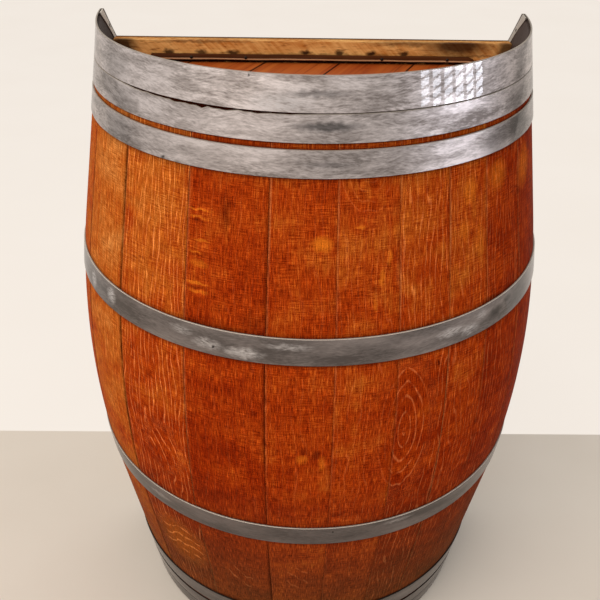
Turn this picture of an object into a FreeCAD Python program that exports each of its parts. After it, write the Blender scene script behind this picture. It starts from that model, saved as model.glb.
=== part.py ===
# Half-barrel bar cabinet: oak cask sawn through its axis, with doors in the flat back.
# Millimetres. The front (curved side) faces -Y, the sawn back faces +Y, +Z is up, the floor is Z = 0.
# Everything is built against the sawn back, which lies at Y = 0 until the end, with the cask's own
# axis a little in front of it. Worked.back_y then puts the origin under the middle of the cabinet.
import FreeCAD
import Part
import Sketcher
import os

KNUCKLES = 17
HINGE_SCREWS = 6
HEAD_BOARDS = 5
STAVES = 12
BATTEN_NAIL_SHARES = (0.124, 0.292, 0.714, 0.917)
SHELF_PIN_STAVES = ("stave_2", "stave_5", "stave_8", "stave_11")

doc = FreeCAD.newDocument("barrel_bar_cabinet")

# Driving dimensions, in millimetres and degrees
DIMENSIONS = (
    # Cask
    ("cask_height", "950"),
    ("bilge_radius", "350"),
    ("end_radius", "285"),
    # 1 gives two straight cones, 2 gives one arc from end to end
    ("bulge_share", "1.3"),
    ("sawn_past_axis", "22"),
    ("stave_thickness", "26"),
    ("rim_stand_up", "4"),
    ("chime_lip", "3"),
    ("chime_bevel", "54"),
    # Angle that each stave takes round the cask, left to right from square to the front; the first
    # and the last one go on to the sawn back
    ("stave_1_angle", "10"),
    ("stave_2_angle", "14"),
    ("stave_3_angle", "18.5"),
    ("stave_4_angle", "19.4"),
    ("stave_5_angle", "18.3"),
    ("stave_6_angle", "14.2"),
    ("stave_7_angle", "13.5"),
    ("stave_8_angle", "12.3"),
    ("stave_9_angle", "11.3"),
    ("stave_10_angle", "14.5"),
    ("stave_11_angle", "16"),
    # Hoops
    ("hoop_thickness", "2"),
    ("hoop_tab", "22"),
    ("chime_hoop_width", "39"),
    ("hoop_seam", "0.6"),
    ("second_hoop_width", "31"),
    ("wood_band", "7"),
    ("third_hoop_width", "31"),
    ("bilge_hoop_width", "36"),
    ("bilge_hoop_drop", "299"),
    ("foot_stand_up", "2"),
    ("foot_chime_hoop_width", "30"),
    ("foot_second_hoop_width", "26.5"),
    ("foot_third_hoop_width", "35"),
    ("chime_tab", "18"),
    ("chime_tab_tip", "5"),
    ("chime_tab_slant", "20"),
    # Hoop nails
    ("hoop_nail_inset", "7"),
    ("chime_nail_rise", "7"),
    ("hoop_nail_radius", "1.2"),
    ("hoop_nail_length", "18"),
    ("hoop_nail_head_radius", "3"),
    ("hoop_nail_head_height", "1"),
    # Heads
    ("head_recess", "64.5"),
    ("head_thickness", "22"),
    ("head_bevel", "14"),
    ("croze_width", "6"),
    ("croze_depth", "5"),
    ("head_board_width", "95.4"),
    ("head_board_angle", "23"),
    ("head_first_joint", "155.7"),
    # Back frame
    ("frame_thickness", "22"),
    ("rail_drop", "36"),
    ("rail_width", "98"),
    ("opening_half_width", "215"),
    # Batten on the top rail, a little above the top head
    ("batten_length", "446"),
    ("batten_rise", "4.5"),
    ("batten_height", "6.5"),
    ("batten_depth", "7"),
    ("batten_nail_radius", "1"),
    ("batten_nail_length", "18"),
    ("batten_nail_head_radius", "2.2"),
    ("batten_nail_head_height", "0.8"),
    # Shelf and its pins
    ("shelf_height", "466"),
    ("shelf_thickness", "18"),
    ("shelf_side_gap", "1"),
    ("shelf_back_gap", "2"),
    ("shelf_pin_radius", "3"),
    ("shelf_pin_in_wood", "10"),
    ("shelf_pin_reach", "12"),
    # Doors
    ("door_thickness", "20"),
    ("door_side_gap", "1.5"),
    ("door_end_gap", "2"),
    ("door_centre_gap", "4"),
    ("ledge_width", "60"),
    ("ledge_thickness", "16"),
    ("ledge_side_margin", "24"),
    ("ledge_end_margin", "90"),
    # Hinges
    ("leaf_width", "14"),
    ("leaf_thickness", "1.2"),
    ("knuckle_radius", "3.2"),
    ("knuckle_lift", "0.3"),
    ("knuckle_gap", "0.4"),
    ("knuckle_relief", "0.5"),
    ("hinge_pin_radius", "1.5"),
    ("hinge_clearance", "0.05"),
    ("hinge_end_margin", "4"),
    ("screw_end_margin", "30"),
    # Screws of the hinges, the catch and the strike plates
    ("screw_head_radius", "2.6"),
    ("screw_radius", "1.3"),
    ("screw_length", "12"),
    # Knobs
    ("knob_spigot_radius", "5"),
    ("knob_foot_radius", "9"),
    ("knob_neck_radius", "6.5"),
    ("knob_neck_length", "11"),
    ("knob_radius", "14"),
    ("knob_length", "28"),
    ("knob_edge_inset", "28"),
    # Catch and strike plates
    ("catch_length", "46"),
    ("catch_depth", "14"),
    ("catch_hang", "18"),
    ("catch_seat", "16"),
    ("catch_flange_length", "72"),
    ("catch_flange_thickness", "2"),
    ("catch_gap", "0.3"),
    ("strike_length", "18"),
    ("strike_height", "14"),
    ("strike_edge_inset", "3"),
    # Cutting tools reach this far past what they cut
    ("overrun", "40"),
)

# Sizes and places that follow from the driving dimensions
WORKED = (
    ("half_height", "Dims.cask_height / 2"),
    # Tangent, cosine and sine of the slope of the straight ends
    ("slope", "Dims.bulge_share * (Dims.bilge_radius - Dims.end_radius) / half_height"),
    ("slant", "1 / sqrt(1 + slope * slope)"),
    ("lean", "slope * slant"),
    ("bend_radius", "(half_height * slope - Dims.bilge_radius + Dims.end_radius) / (1 / slant - 1)"),
    ("bend_rise", "bend_radius * lean"),
    ("bend_low", "half_height - bend_rise"),
    ("bend_high", "half_height + bend_rise"),
    ("bend_wall", "Dims.bilge_radius - bend_radius * (1 - slant)"),
    ("bend_centre", "Dims.bilge_radius - bend_radius"),
    ("axis", "-Dims.sawn_past_axis"),
    ("back_y", "(Dims.bilge_radius + Dims.sawn_past_axis - Dims.knob_length) / 2"),
    # The hoop form is the cask grown by one hoop thickness
    ("hoop_end", "Dims.end_radius + Dims.hoop_thickness / slant"),
    ("hoop_bend", "bend_wall + Dims.hoop_thickness * slant"),
    ("hoop_bend_low", "bend_low - Dims.hoop_thickness * lean"),
    ("hoop_bend_high", "bend_high + Dims.hoop_thickness * lean"),
    ("hoop_bend_radius", "bend_radius + Dims.hoop_thickness"),
    # The inner form is the space inside the staves, with the chime bevels at both ends
    ("wall", "Dims.stave_thickness / slant"),
    ("stave_top", "Dims.cask_height - Dims.rim_stand_up"),
    ("inner_foot", "Dims.end_radius - Dims.chime_lip"),
    ("inner_low", "Dims.end_radius + Dims.chime_bevel * slope - wall"),
    ("inner_bend", "bend_wall - Dims.stave_thickness * slant"),
    ("inner_bend_low", "bend_low + Dims.stave_thickness * lean"),
    ("inner_bend_high", "bend_high - Dims.stave_thickness * lean"),
    ("inner_bend_radius", "bend_radius - Dims.stave_thickness"),
    ("inner_high", "Dims.end_radius + (Dims.rim_stand_up + Dims.chime_bevel) * slope - wall"),
    ("bevel_high", "stave_top - Dims.chime_bevel"),
    ("inner_rim", "Dims.end_radius + Dims.rim_stand_up * slope - Dims.chime_lip"),
    # Hoop heights
    ("chime_low", "Dims.cask_height - Dims.chime_hoop_width"),
    ("second_low", "chime_low - Dims.hoop_seam - Dims.second_hoop_width"),
    ("third_low", "second_low - Dims.wood_band - Dims.third_hoop_width"),
    ("bilge_low", "Dims.cask_height - Dims.bilge_hoop_drop - Dims.bilge_hoop_width"),
    ("foot_second_low", "Dims.foot_stand_up + Dims.foot_chime_hoop_width + Dims.hoop_seam"),
    ("foot_third_low", "foot_second_low + Dims.foot_second_hoop_width + Dims.wood_band"),
    # Radius of the cask at the middle of each hoop
    ("chime_wall", "Dims.end_radius + Dims.chime_tab_slant * slope"),
    ("second_mid", "Dims.cask_height - second_low - Dims.second_hoop_width / 2"),
    ("second_wall", "Dims.end_radius + second_mid * slope"),
    ("third_mid", "Dims.cask_height - third_low - Dims.third_hoop_width / 2"),
    ("third_wall", "Dims.end_radius + third_mid * slope"),
    ("foot_second_wall", "Dims.end_radius + (foot_second_low + Dims.foot_second_hoop_width / 2) * slope"),
    ("foot_third_wall", "Dims.end_radius + (foot_third_low + Dims.foot_third_hoop_width / 2) * slope"),
    ("bilge_mid", "Dims.bilge_hoop_drop + Dims.bilge_hoop_width / 2 - half_height"),
    ("bilge_wall", "bend_centre + sqrt(bend_radius * bend_radius - bilge_mid * bilge_mid)"),
    ("tab_low", "Dims.cask_height - Dims.chime_tab_slant"),
    ("tab_tip", "hoop_end - Dims.chime_tab_tip"),
    # Heads
    ("head_top", "Dims.cask_height - Dims.head_recess"),
    ("head_middle", "head_top - Dims.head_thickness / 2"),
    ("foot_head_middle", "Dims.head_recess + Dims.head_thickness / 2"),
    ("head_wall", "Dims.end_radius + foot_head_middle * slope - wall"),
    ("croze_radius", "head_wall + Dims.croze_depth"),
    ("tongue_radius", "head_wall - Dims.croze_width / 2 * slope"),
    ("head_flat", "tongue_radius - Dims.head_bevel"),
    ("head_bevel_height", "(Dims.head_thickness - Dims.croze_width) / 2"),
    # Back frame
    ("rail_top", "Dims.cask_height - Dims.rail_drop"),
    ("opening_top", "rail_top - Dims.rail_width"),
    ("opening_low", "Dims.rail_drop + Dims.rail_width"),
    ("batten_low", "head_top + Dims.batten_rise"),
    # Doors and hinges
    ("door_edge", "Dims.opening_half_width - Dims.door_side_gap"),
    ("door_width", "door_edge - Dims.door_centre_gap / 2"),
    ("door_low", "opening_low + Dims.door_end_gap"),
    ("door_height", "opening_top - opening_low - 2 * Dims.door_end_gap"),
    ("ledge_length", "door_width - 2 * Dims.ledge_side_margin"),
    ("hinge_x", "Dims.opening_half_width - Dims.door_side_gap / 2"),
    ("hinge_y", "Dims.knuckle_lift + Dims.knuckle_radius"),
    ("hinge_low", "door_low + Dims.hinge_end_margin"),
    ("hinge_length", "door_height - 2 * Dims.hinge_end_margin"),
    ("knuckle_pitch", "(hinge_length + Dims.knuckle_gap) / %d" % KNUCKLES),
    ("knuckle_length", "knuckle_pitch - Dims.knuckle_gap"),
    ("strip_edge", "Dims.knuckle_radius + Dims.knuckle_relief"),
    ("strip_width", "Dims.leaf_width - strip_edge"),
    ("screw_offset", "strip_edge + strip_width / 2"),
    ("screw_low", "hinge_low + Dims.screw_end_margin"),
    ("screw_pitch", "(hinge_length - 2 * Dims.screw_end_margin) / %d" % (HINGE_SCREWS - 1)),
    ("screw_head_height", "Dims.screw_head_radius - Dims.screw_radius"),
    # Catch and strike plates
    ("catch_screw_x", "(Dims.catch_length + Dims.catch_flange_length) / 4"),
    ("strike_thickness", "Dims.frame_thickness - Dims.door_thickness - Dims.catch_gap"),
    ("strike_low", "door_low + door_height - Dims.strike_edge_inset - Dims.strike_height"),
    ("strike_middle", "Dims.door_centre_gap / 2 + Dims.strike_edge_inset + Dims.strike_length / 2"),
    # A width that spans the whole cask
    ("span", "Dims.bilge_radius + Dims.sawn_past_axis + Dims.overrun"),
)


def fill_sheet(name, rows, lead):
    sheet = doc.addObject("Spreadsheet::Sheet", name)
    for number, (alias, text) in enumerate(rows, start=1):
        cell = "B%d" % number
        sheet.set("A%d" % number, alias)
        sheet.setAlias(cell, alias)
        sheet.set(cell, lead + text)
    doc.recompute()
    return sheet


dims = fill_sheet("Dims", DIMENSIONS, "")
worked = fill_sheet("Worked", WORKED, "=")

ABOUT_X = FreeCAD.Vector(1, 0, 0)
ABOUT_Y = FreeCAD.Vector(0, 1, 0)
ABOUT_Z = FreeCAD.Vector(0, 0, 1)
HERE = FreeCAD.Vector(0, 0, 0)
pieces = []


def value(text):
    return float(worked.evalExpression(text))


def bind(item, sizes):
    for name, text in sizes.items():
        item.setExpression(name, text)
    return item


def seat(item, low):
    names = ("Placement.Base.x", "Placement.Base.y", "Placement.Base.z")
    return bind(item, dict(zip(names, low)))


def box(name, low, size):
    item = doc.addObject("Part::Box", name)
    bind(item, dict(zip(("Length", "Width", "Height"), size)))
    return seat(item, low)


def rod(name, radius, length, low, axis=ABOUT_Z, turn=0):
    item = doc.addObject("Part::Cylinder", name)
    item.Placement = FreeCAD.Placement(HERE, FreeCAD.Rotation(axis, turn))
    bind(item, {"Radius": radius, "Height": length})
    return seat(item, low)


def taper(name, radius_low, radius_high, length, low, axis=ABOUT_Z, turn=0):
    item = doc.addObject("Part::Cone", name)
    item.Placement = FreeCAD.Placement(HERE, FreeCAD.Rotation(axis, turn))
    bind(item, {"Radius1": radius_low, "Radius2": radius_high, "Height": length})
    return seat(item, low)


def common(name, base, tool):
    item = doc.addObject("Part::Common", name)
    item.Base = base
    item.Tool = tool
    return item


def cut(name, base, tool):
    item = doc.addObject("Part::Cut", name)
    item.Base = base
    item.Tool = tool
    return item


def fuse(name, parts):
    item = doc.addObject("Part::MultiFuse", name)
    item.Shapes = parts
    return item


def group(name, parts):
    item = doc.addObject("Part::Compound", name)
    item.Links = parts
    return item


def keep(item, label):
    # Moves a finished piece from the sawn back to the cabinet's frame and lists it for writing
    places = [text for path, text in item.ExpressionEngine if path.endswith("Placement.Base.y")]
    item.setExpression("Placement.Base.y", " + ".join(places + ["Worked.back_y"]))
    item.Label = label
    pieces.append(item)
    return item


def revolved_form(name, corners, bend, bend_radius):
    # Solid of revolution about the cask's axis. corners are (radius, height) pairs; the edge that
    # starts at corner number bend is an arc about the cask's own bend centre, the rest are straight.
    body = doc.addObject("PartDesign::Body", name)
    sketch = body.newObject("Sketcher::SketchObject", name + "_profile")
    plane = [item for item in body.Origin.OriginFeatures if item.Role == "XZ_Plane"][0]
    sketch.AttachmentSupport = (plane, [""])
    sketch.MapMode = "FlatFace"
    spots = [FreeCAD.Vector(value(radius), value(height), 0) for radius, height in corners]
    centre = FreeCAD.Vector(value("Worked.bend_centre"), value("Worked.half_height"), 0)
    for number, spot in enumerate(spots):
        following = spots[(number + 1) % len(spots)]
        if number == bend:
            circle = Part.Circle(centre, ABOUT_Z, value(bend_radius))
            sketch.addGeometry(Part.ArcOfCircle(circle, circle.parameter(spot), circle.parameter(following)))
        else:
            sketch.addGeometry(Part.LineSegment(spot, following))
    for number, (radius, height) in enumerate(corners):
        following = (number + 1) % len(corners)
        sketch.addConstraint(Sketcher.Constraint("Coincident", number, 2, following, 1))
        for kind, axis, text, size in (
            ("DistanceX", -2, radius, spots[number].x),
            ("DistanceY", -1, height, spots[number].y),
        ):
            if text == "0":
                sketch.addConstraint(Sketcher.Constraint("PointOnObject", number, 1, axis))
            else:
                mark = sketch.addConstraint(Sketcher.Constraint(kind, -1, 1, number, 1, size))
                sketch.setExpression("Constraints[%d]" % mark, text)
    mark = sketch.addConstraint(Sketcher.Constraint("Radius", bend, value(bend_radius)))
    sketch.setExpression("Constraints[%d]" % mark, bend_radius)
    turn = body.newObject("PartDesign::Revolution", name + "_turn")
    turn.Profile = sketch
    turn.ReferenceAxis = (sketch, ["V_Axis"])
    turn.Angle = 360
    return bind(body, {"Placement.Base.y": "Worked.axis"})


# Forms of the cask
outer_form = revolved_form(
    "outer_form",
    (
        ("0", "0"),
        ("Dims.end_radius", "0"),
        ("Worked.bend_wall", "Worked.bend_low"),
        ("Worked.bend_wall", "Worked.bend_high"),
        ("Dims.end_radius", "Dims.cask_height"),
        ("0", "Dims.cask_height"),
    ),
    2,
    "Worked.bend_radius",
)
hoop_form = revolved_form(
    "hoop_form",
    (
        ("0", "0"),
        ("Worked.hoop_end", "0"),
        ("Worked.hoop_bend", "Worked.hoop_bend_low"),
        ("Worked.hoop_bend", "Worked.hoop_bend_high"),
        ("Worked.hoop_end", "Dims.cask_height"),
        ("0", "Dims.cask_height"),
    ),
    2,
    "Worked.hoop_bend_radius",
)
inner_form = revolved_form(
    "inner_form",
    (
        ("0", "0"),
        ("Worked.inner_foot", "0"),
        ("Worked.inner_low", "Dims.chime_bevel"),
        ("Worked.inner_bend", "Worked.inner_bend_low"),
        ("Worked.inner_bend", "Worked.inner_bend_high"),
        ("Worked.inner_high", "Worked.bevel_high"),
        ("Worked.inner_rim", "Worked.stave_top"),
        ("Worked.inner_rim", "Dims.cask_height"),
        ("0", "Dims.cask_height"),
    ),
    3,
    "Worked.inner_bend_radius",
)
doc.recompute()


def peg(name, radius, length, head_radius, head_height, x, face, z, way):
    # Round nail that stands along Y: its head lies on the face and the shank runs in along way
    if way == "+":
        head_low = "%s - %s" % (face, head_height)
        shank_low = face
    else:
        head_low = face
        shank_low = "%s - %s" % (face, length)
    shank = rod(name + "_shank", radius, length, (x, shank_low, z), ABOUT_X, -90)
    head = rod(name + "_head", head_radius, head_height, (x, head_low, z), ABOUT_X, -90)
    return fuse(name, [shank, head])


def screw(name, x, face, z, way):
    # Countersunk screw along Y with its head flush in the face
    head_height = "Worked.screw_head_height"
    shank_length = "Dims.screw_length - %s" % head_height
    if way == "+":
        radii = ("Dims.screw_head_radius", "Dims.screw_radius")
        head_low = face
        shank_low = "%s + %s" % (face, head_height)
    else:
        radii = ("Dims.screw_radius", "Dims.screw_head_radius")
        head_low = "%s - %s" % (face, head_height)
        shank_low = "%s - Dims.screw_length" % face
    head = taper(name + "_head", radii[0], radii[1], head_height, (x, head_low, z), ABOUT_X, -90)
    shank = rod(name + "_shank", "Dims.screw_radius", shank_length, (x, shank_low, z), ABOUT_X, -90)
    return fuse(name, [head, shank])


# Hoops: a band of the hoop form whose ends fold over the sawn back of the end staves
HOOPS = (
    # name, lower edge, width, radius of the cask there, length of the folded end, nail height
    (
        "top_chime_hoop",
        "Worked.chime_low",
        "Dims.chime_hoop_width",
        "Worked.chime_wall",
        "Dims.chime_tab",
        "Dims.chime_nail_rise",
    ),
    (
        "top_second_hoop",
        "Worked.second_low",
        "Dims.second_hoop_width",
        "Worked.second_wall",
        "Dims.hoop_tab",
        "Dims.second_hoop_width / 2",
    ),
    (
        "top_third_hoop",
        "Worked.third_low",
        "Dims.third_hoop_width",
        "Worked.third_wall",
        "Dims.hoop_tab",
        "Dims.third_hoop_width / 2",
    ),
    (
        "upper_bilge_hoop",
        "Worked.bilge_low",
        "Dims.bilge_hoop_width",
        "Worked.bilge_wall",
        "Dims.hoop_tab",
        "Dims.bilge_hoop_width / 2",
    ),
    (
        "lower_bilge_hoop",
        "Dims.bilge_hoop_drop",
        "Dims.bilge_hoop_width",
        "Worked.bilge_wall",
        "Dims.hoop_tab",
        "Dims.bilge_hoop_width / 2",
    ),
    (
        "bottom_third_hoop",
        "Worked.foot_third_low",
        "Dims.foot_third_hoop_width",
        "Worked.foot_third_wall",
        "Dims.hoop_tab",
        "Dims.foot_third_hoop_width / 2",
    ),
    (
        "bottom_second_hoop",
        "Worked.foot_second_low",
        "Dims.foot_second_hoop_width",
        "Worked.foot_second_wall",
        "Dims.hoop_tab",
        "Dims.foot_second_hoop_width / 2",
    ),
    (
        "bottom_chime_hoop",
        "Dims.foot_stand_up",
        "Dims.foot_chime_hoop_width",
        "Worked.chime_wall",
        "Dims.chime_tab",
        "Dims.foot_chime_hoop_width - Dims.chime_nail_rise",
    ),
)
front_half = box(
    "front_half",
    ("-Worked.span", "-Worked.span", "-Dims.overrun"),
    ("2 * Worked.span", "Worked.span", "Dims.cask_height + 2 * Dims.overrun"),
)
front_core = common("front_core", outer_form, front_half)
left_nails = []
right_nails = []


def tab_core(name, low, width, reach):
    # What is cut away between the two folded ends of a hoop
    size = ("2 * (%s)" % reach, "Worked.span", "%s + 2 * Dims.overrun" % width)
    return box(name + "_core", ("-(%s)" % reach, "0", "%s - Dims.overrun" % low), size)


def slanted_core(name, low, reach):
    # The same for the top hoop, whose folded ends are cut on a slant along the chime
    straight = box(
        name + "_straight",
        ("-(%s)" % reach, "0", "%s - Dims.overrun" % low),
        ("2 * (%s)" % reach, "Worked.span", "Worked.tab_low - (%s) + Dims.overrun" % low),
    )
    slanted = doc.addObject("Part::Wedge", name + "_slanted")
    slanted.Placement = FreeCAD.Placement(HERE, FreeCAD.Rotation(ABOUT_X, 90))
    bind(
        slanted,
        {
            "Xmin": "-(%s)" % reach,
            "Xmax": reach,
            "X2min": "-Worked.tab_tip",
            "X2max": "Worked.tab_tip",
            "Ymin": "0",
            "Ymax": "Dims.chime_tab_slant",
            "Zmin": "-Worked.span",
            "Z2min": "-Worked.span",
            "Zmax": "0",
            "Z2max": "0",
        },
    )
    seat(slanted, ("0", "0", "Worked.tab_low"))
    return fuse(name + "_core", [straight, slanted])


def hoop(name, low, width, wall, tab, nail_rise):
    slab = box(
        name + "_slab",
        ("-Worked.span", "-Worked.span", low),
        ("2 * Worked.span", "Worked.span + Dims.hoop_thickness", width),
    )
    ring = cut(name + "_ring", common(name + "_band", hoop_form, slab), front_core)
    reach = "%s - %s" % (wall, tab)
    if name == "top_chime_hoop":
        core = slanted_core(name, low, reach)
    else:
        core = tab_core(name, low, width, reach)
    strap = cut(name + "_strap", ring, core)
    nails = []
    for side, sign in (("left", "-"), ("right", "")):
        nails.append(
            peg(
                "%s_%s_nail" % (name, side),
                "Dims.hoop_nail_radius",
                "Dims.hoop_nail_length",
                "Dims.hoop_nail_head_radius",
                "Dims.hoop_nail_head_height",
                "%s(%s - Dims.hoop_nail_inset)" % (sign, wall),
                "Dims.hoop_thickness",
                "%s + %s" % (low, nail_rise),
                "-",
            )
        )
    left_nails.append(nails[0])
    right_nails.append(nails[1])
    keep(cut(name, strap, group(name + "_nails", nails)), name)


for row in HOOPS:
    hoop(*row)
left_hoop_nails = group("left_hoop_nails", left_nails)
right_hoop_nails = group("right_hoop_nails", right_nails)
keep(group("hoop_nails", left_nails + right_nails), "hoop_nails")


# Staves: sectors of the hollow cask, with grooves for the heads and holes for nails and shelf pins
def stave_turn(number):
    # Where stave number starts round the cask; the first one and the end of the last one lie
    # behind the sawn face, which trims them
    if number == 1:
        return "90"
    if number > STAVES:
        return "450"
    angles = ["Dims.stave_%d_angle" % earlier for earlier in range(1, number)]
    return " + ".join(["180"] + angles)


def stave_angle(number):
    return "%s - (%s)" % (stave_turn(number + 1), stave_turn(number))


def groove(name, middle):
    low = "%s - Dims.croze_width / 2" % middle
    return rod(name, "Worked.croze_radius", "Dims.croze_width", ("0", "Worked.axis", low))


def shelf_pin(number):
    name = "stave_%d_shelf_pin" % number
    inner = "Dims.bilge_radius - Dims.stave_thickness - Dims.shelf_pin_reach"
    height = "Dims.shelf_height - Dims.shelf_pin_radius"
    length = "Dims.shelf_pin_reach + Dims.shelf_pin_in_wood"
    pin = rod(name + "_rod", "Dims.shelf_pin_radius", length, (inner, "0", height), ABOUT_Y, 90)
    turned = group(name, [pin])
    turned.Placement = FreeCAD.Placement(HERE, FreeCAD.Rotation(ABOUT_Z, 1))
    turn = "%s + (%s) / 2" % (stave_turn(number), stave_angle(number))
    return bind(turned, {"Placement.Rotation.Angle": turn, "Placement.Base.y": "Worked.axis"})


grooves = [groove("top_croze", "Worked.head_middle"), groove("foot_croze", "Worked.foot_head_middle")]
hollow = fuse("hollow", [inner_form] + grooves)
cask_wall = cut("cask_wall", front_core, hollow)
shelf_pins = []
for number in range(1, STAVES + 1):
    name = "stave_%d" % number
    sector = rod(name + "_sector", "Worked.span", "Worked.stave_top", ("0", "Worked.axis", "0"), ABOUT_Z, 1)
    bind(sector, {"Angle": stave_angle(number), "Placement.Rotation.Angle": stave_turn(number)})
    plank = common(name + "_plank", cask_wall, sector)
    if number == 1:
        plank = cut(name, plank, left_hoop_nails)
    elif number == STAVES:
        plank = cut(name, plank, right_hoop_nails)
    elif name in SHELF_PIN_STAVES:
        shelf_pins.append(shelf_pin(number))
        plank = cut(name, plank, shelf_pins[-1])
    keep(plank, name)
keep(group("shelf_pins", shelf_pins), "shelf_pins")


# Heads: tongued discs of oblique boards, sawn off at the back frame
def board_edge(number):
    # Where board number starts across the head, along the line square to the boards
    if number == 0:
        return "-Worked.span"
    if number == HEAD_BOARDS:
        return "Worked.span"
    return "%d * Dims.head_board_width - Dims.head_first_joint" % (number - 1)


def head(place, middle):
    name = place + "_head"
    low = "%s - Dims.head_thickness / 2" % middle
    tongue_low = "%s - Dims.croze_width / 2" % middle
    tongue_high = "%s + Dims.croze_width / 2" % middle
    bevel = "Worked.head_bevel_height"
    under = taper(
        name + "_under", "Worked.head_flat", "Worked.tongue_radius", bevel, ("0", "Worked.axis", low)
    )
    tongue = rod(
        name + "_tongue", "Worked.croze_radius", "Dims.croze_width", ("0", "Worked.axis", tongue_low)
    )
    over = taper(
        name + "_over", "Worked.tongue_radius", "Worked.head_flat", bevel, ("0", "Worked.axis", tongue_high)
    )
    disc = fuse(name + "_disc", [under, tongue, over])
    front = box(
        name + "_front",
        ("-Worked.span", "-Worked.span", "%s - Dims.overrun" % low),
        ("2 * Worked.span", "Worked.span - Dims.frame_thickness", "Dims.head_thickness + 2 * Dims.overrun"),
    )
    half = common(name + "_half", disc, front)
    turn = "Dims.head_board_angle"
    for number in range(HEAD_BOARDS):
        board = "%s_board_%d" % (name, number + 1)
        start = "(%s)" % board_edge(number)
        strip = doc.addObject("Part::Box", board + "_strip")
        strip.Placement = FreeCAD.Placement(HERE, FreeCAD.Rotation(ABOUT_Z, 1))
        bind(
            strip,
            {
                "Length": "%s - %s" % (board_edge(number + 1), start),
                "Width": "2 * Worked.span",
                "Height": "Dims.head_thickness + 2 * Dims.overrun",
                "Placement.Rotation.Angle": "360 - %s" % turn,
            },
        )
        seat(
            strip,
            (
                "%s * cos(%s) - Worked.span * sin(%s)" % (start, turn, turn),
                "Worked.axis - %s * sin(%s) - Worked.span * cos(%s)" % (start, turn, turn),
                "%s - Dims.overrun" % low,
            ),
        )
        keep(common(board, half, strip), board)


head("top", "Worked.head_middle")
head("bottom", "Worked.foot_head_middle")


# Screws, sorted by the body that they belong to
def hinge_screws(name, axis, offset):
    made = []
    for number in range(HINGE_SCREWS):
        height = "Worked.screw_low + %d * Worked.screw_pitch" % number
        made.append(
            screw("%s_%d" % (name, number + 1), "%s %s" % (axis, offset), "Dims.leaf_thickness", height, "-")
        )
    return made


AXES = {"left": "-Worked.hinge_x", "right": "Worked.hinge_x"}
OUTWARD = {"left": "-", "right": "+"}
INWARD = {"left": "+", "right": "-"}
stile_screws = {}
door_screws = {}
strike_screws = {}
for side in ("left", "right"):
    outward = "%s Worked.screw_offset" % OUTWARD[side]
    inward = "%s Worked.screw_offset" % INWARD[side]
    stile_screws[side] = hinge_screws(side + "_stile_screw", AXES[side], outward)
    door_screws[side] = hinge_screws(side + "_door_screw", AXES[side], inward)
    strike_screws[side] = screw(
        side + "_strike_screw",
        "%s1 * Worked.strike_middle" % OUTWARD[side],
        "-Dims.door_thickness - Worked.strike_thickness",
        "Worked.strike_low + Dims.strike_height / 2",
        "+",
    )
catch_screws = [
    screw(
        side + "_catch_screw",
        "%s1 * Worked.catch_screw_x" % OUTWARD[side],
        "-Dims.frame_thickness - Dims.catch_flange_thickness",
        "Worked.opening_top + Dims.catch_seat / 2",
        "+",
    )
    for side in ("left", "right")
]
frame_screws = stile_screws["left"] + stile_screws["right"] + catch_screws
keep(group("frame_screws", frame_screws), "frame_screws")
for side in ("left", "right"):
    name = side + "_door_screws"
    keep(group(name, door_screws[side] + [strike_screws[side]]), name)


# Batten with its nails, on the top rail just above the top head
batten_face = "-Dims.frame_thickness - Dims.batten_depth"
batten_bar = box(
    "batten_bar",
    ("-Dims.batten_length / 2", batten_face, "Worked.batten_low"),
    ("Dims.batten_length", "Dims.batten_depth", "Dims.batten_height"),
)
batten_pegs = [
    peg(
        "batten_nail_%d" % number,
        "Dims.batten_nail_radius",
        "Dims.batten_nail_length",
        "Dims.batten_nail_head_radius",
        "Dims.batten_nail_head_height",
        "(%s - 0.5) * Dims.batten_length" % share,
        batten_face,
        "Worked.batten_low + Dims.batten_height / 2",
        "+",
    )
    for number, share in enumerate(BATTEN_NAIL_SHARES, start=1)
]
keep(cut("head_batten", batten_bar, group("batten_holes", batten_pegs)), "head_batten")
keep(group("batten_nails", batten_pegs), "batten_nails")


# Back frame between the end staves, scribed to their inner face
def frame_board(name, low_x, width, low_z, height, holes):
    blank = box(
        name + "_blank",
        (low_x, "-Dims.frame_thickness", low_z),
        (width, "Dims.frame_thickness", height),
    )
    scribed = common(name + "_scribed", blank, inner_form)
    if holes:
        scribed = cut(name, scribed, group(name + "_holes", holes))
    keep(scribed, name)


stile_reach = "Worked.span - Dims.opening_half_width"
stile_height = "Worked.opening_top - Worked.opening_low"
full_width = "2 * Worked.span"
rail = ("-Worked.span", full_width)
frame_board("top_rail", *rail, "Worked.opening_top", "Dims.rail_width", batten_pegs + catch_screws)
frame_board("bottom_rail", *rail, "Dims.rail_drop", "Dims.rail_width", [])
frame_board(
    "left_stile", "-Worked.span", stile_reach, "Worked.opening_low", stile_height, stile_screws["left"]
)
frame_board(
    "right_stile",
    "Dims.opening_half_width",
    stile_reach,
    "Worked.opening_low",
    stile_height,
    stile_screws["right"],
)

# Shelf, loose on its pins
shelf_disc = rod(
    "shelf_disc",
    "Dims.bilge_radius - Dims.stave_thickness - Dims.shelf_side_gap",
    "Dims.shelf_thickness",
    ("0", "Worked.axis", "Dims.shelf_height"),
)
shelf_front = box(
    "shelf_front",
    ("-Worked.span", "-Worked.span", "Dims.shelf_height - Dims.overrun"),
    (
        full_width,
        "Worked.span - Dims.frame_thickness - Dims.shelf_back_gap",
        "Dims.shelf_thickness + 2 * Dims.overrun",
    ),
)
keep(common("shelf", shelf_disc, shelf_front), "shelf")


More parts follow.
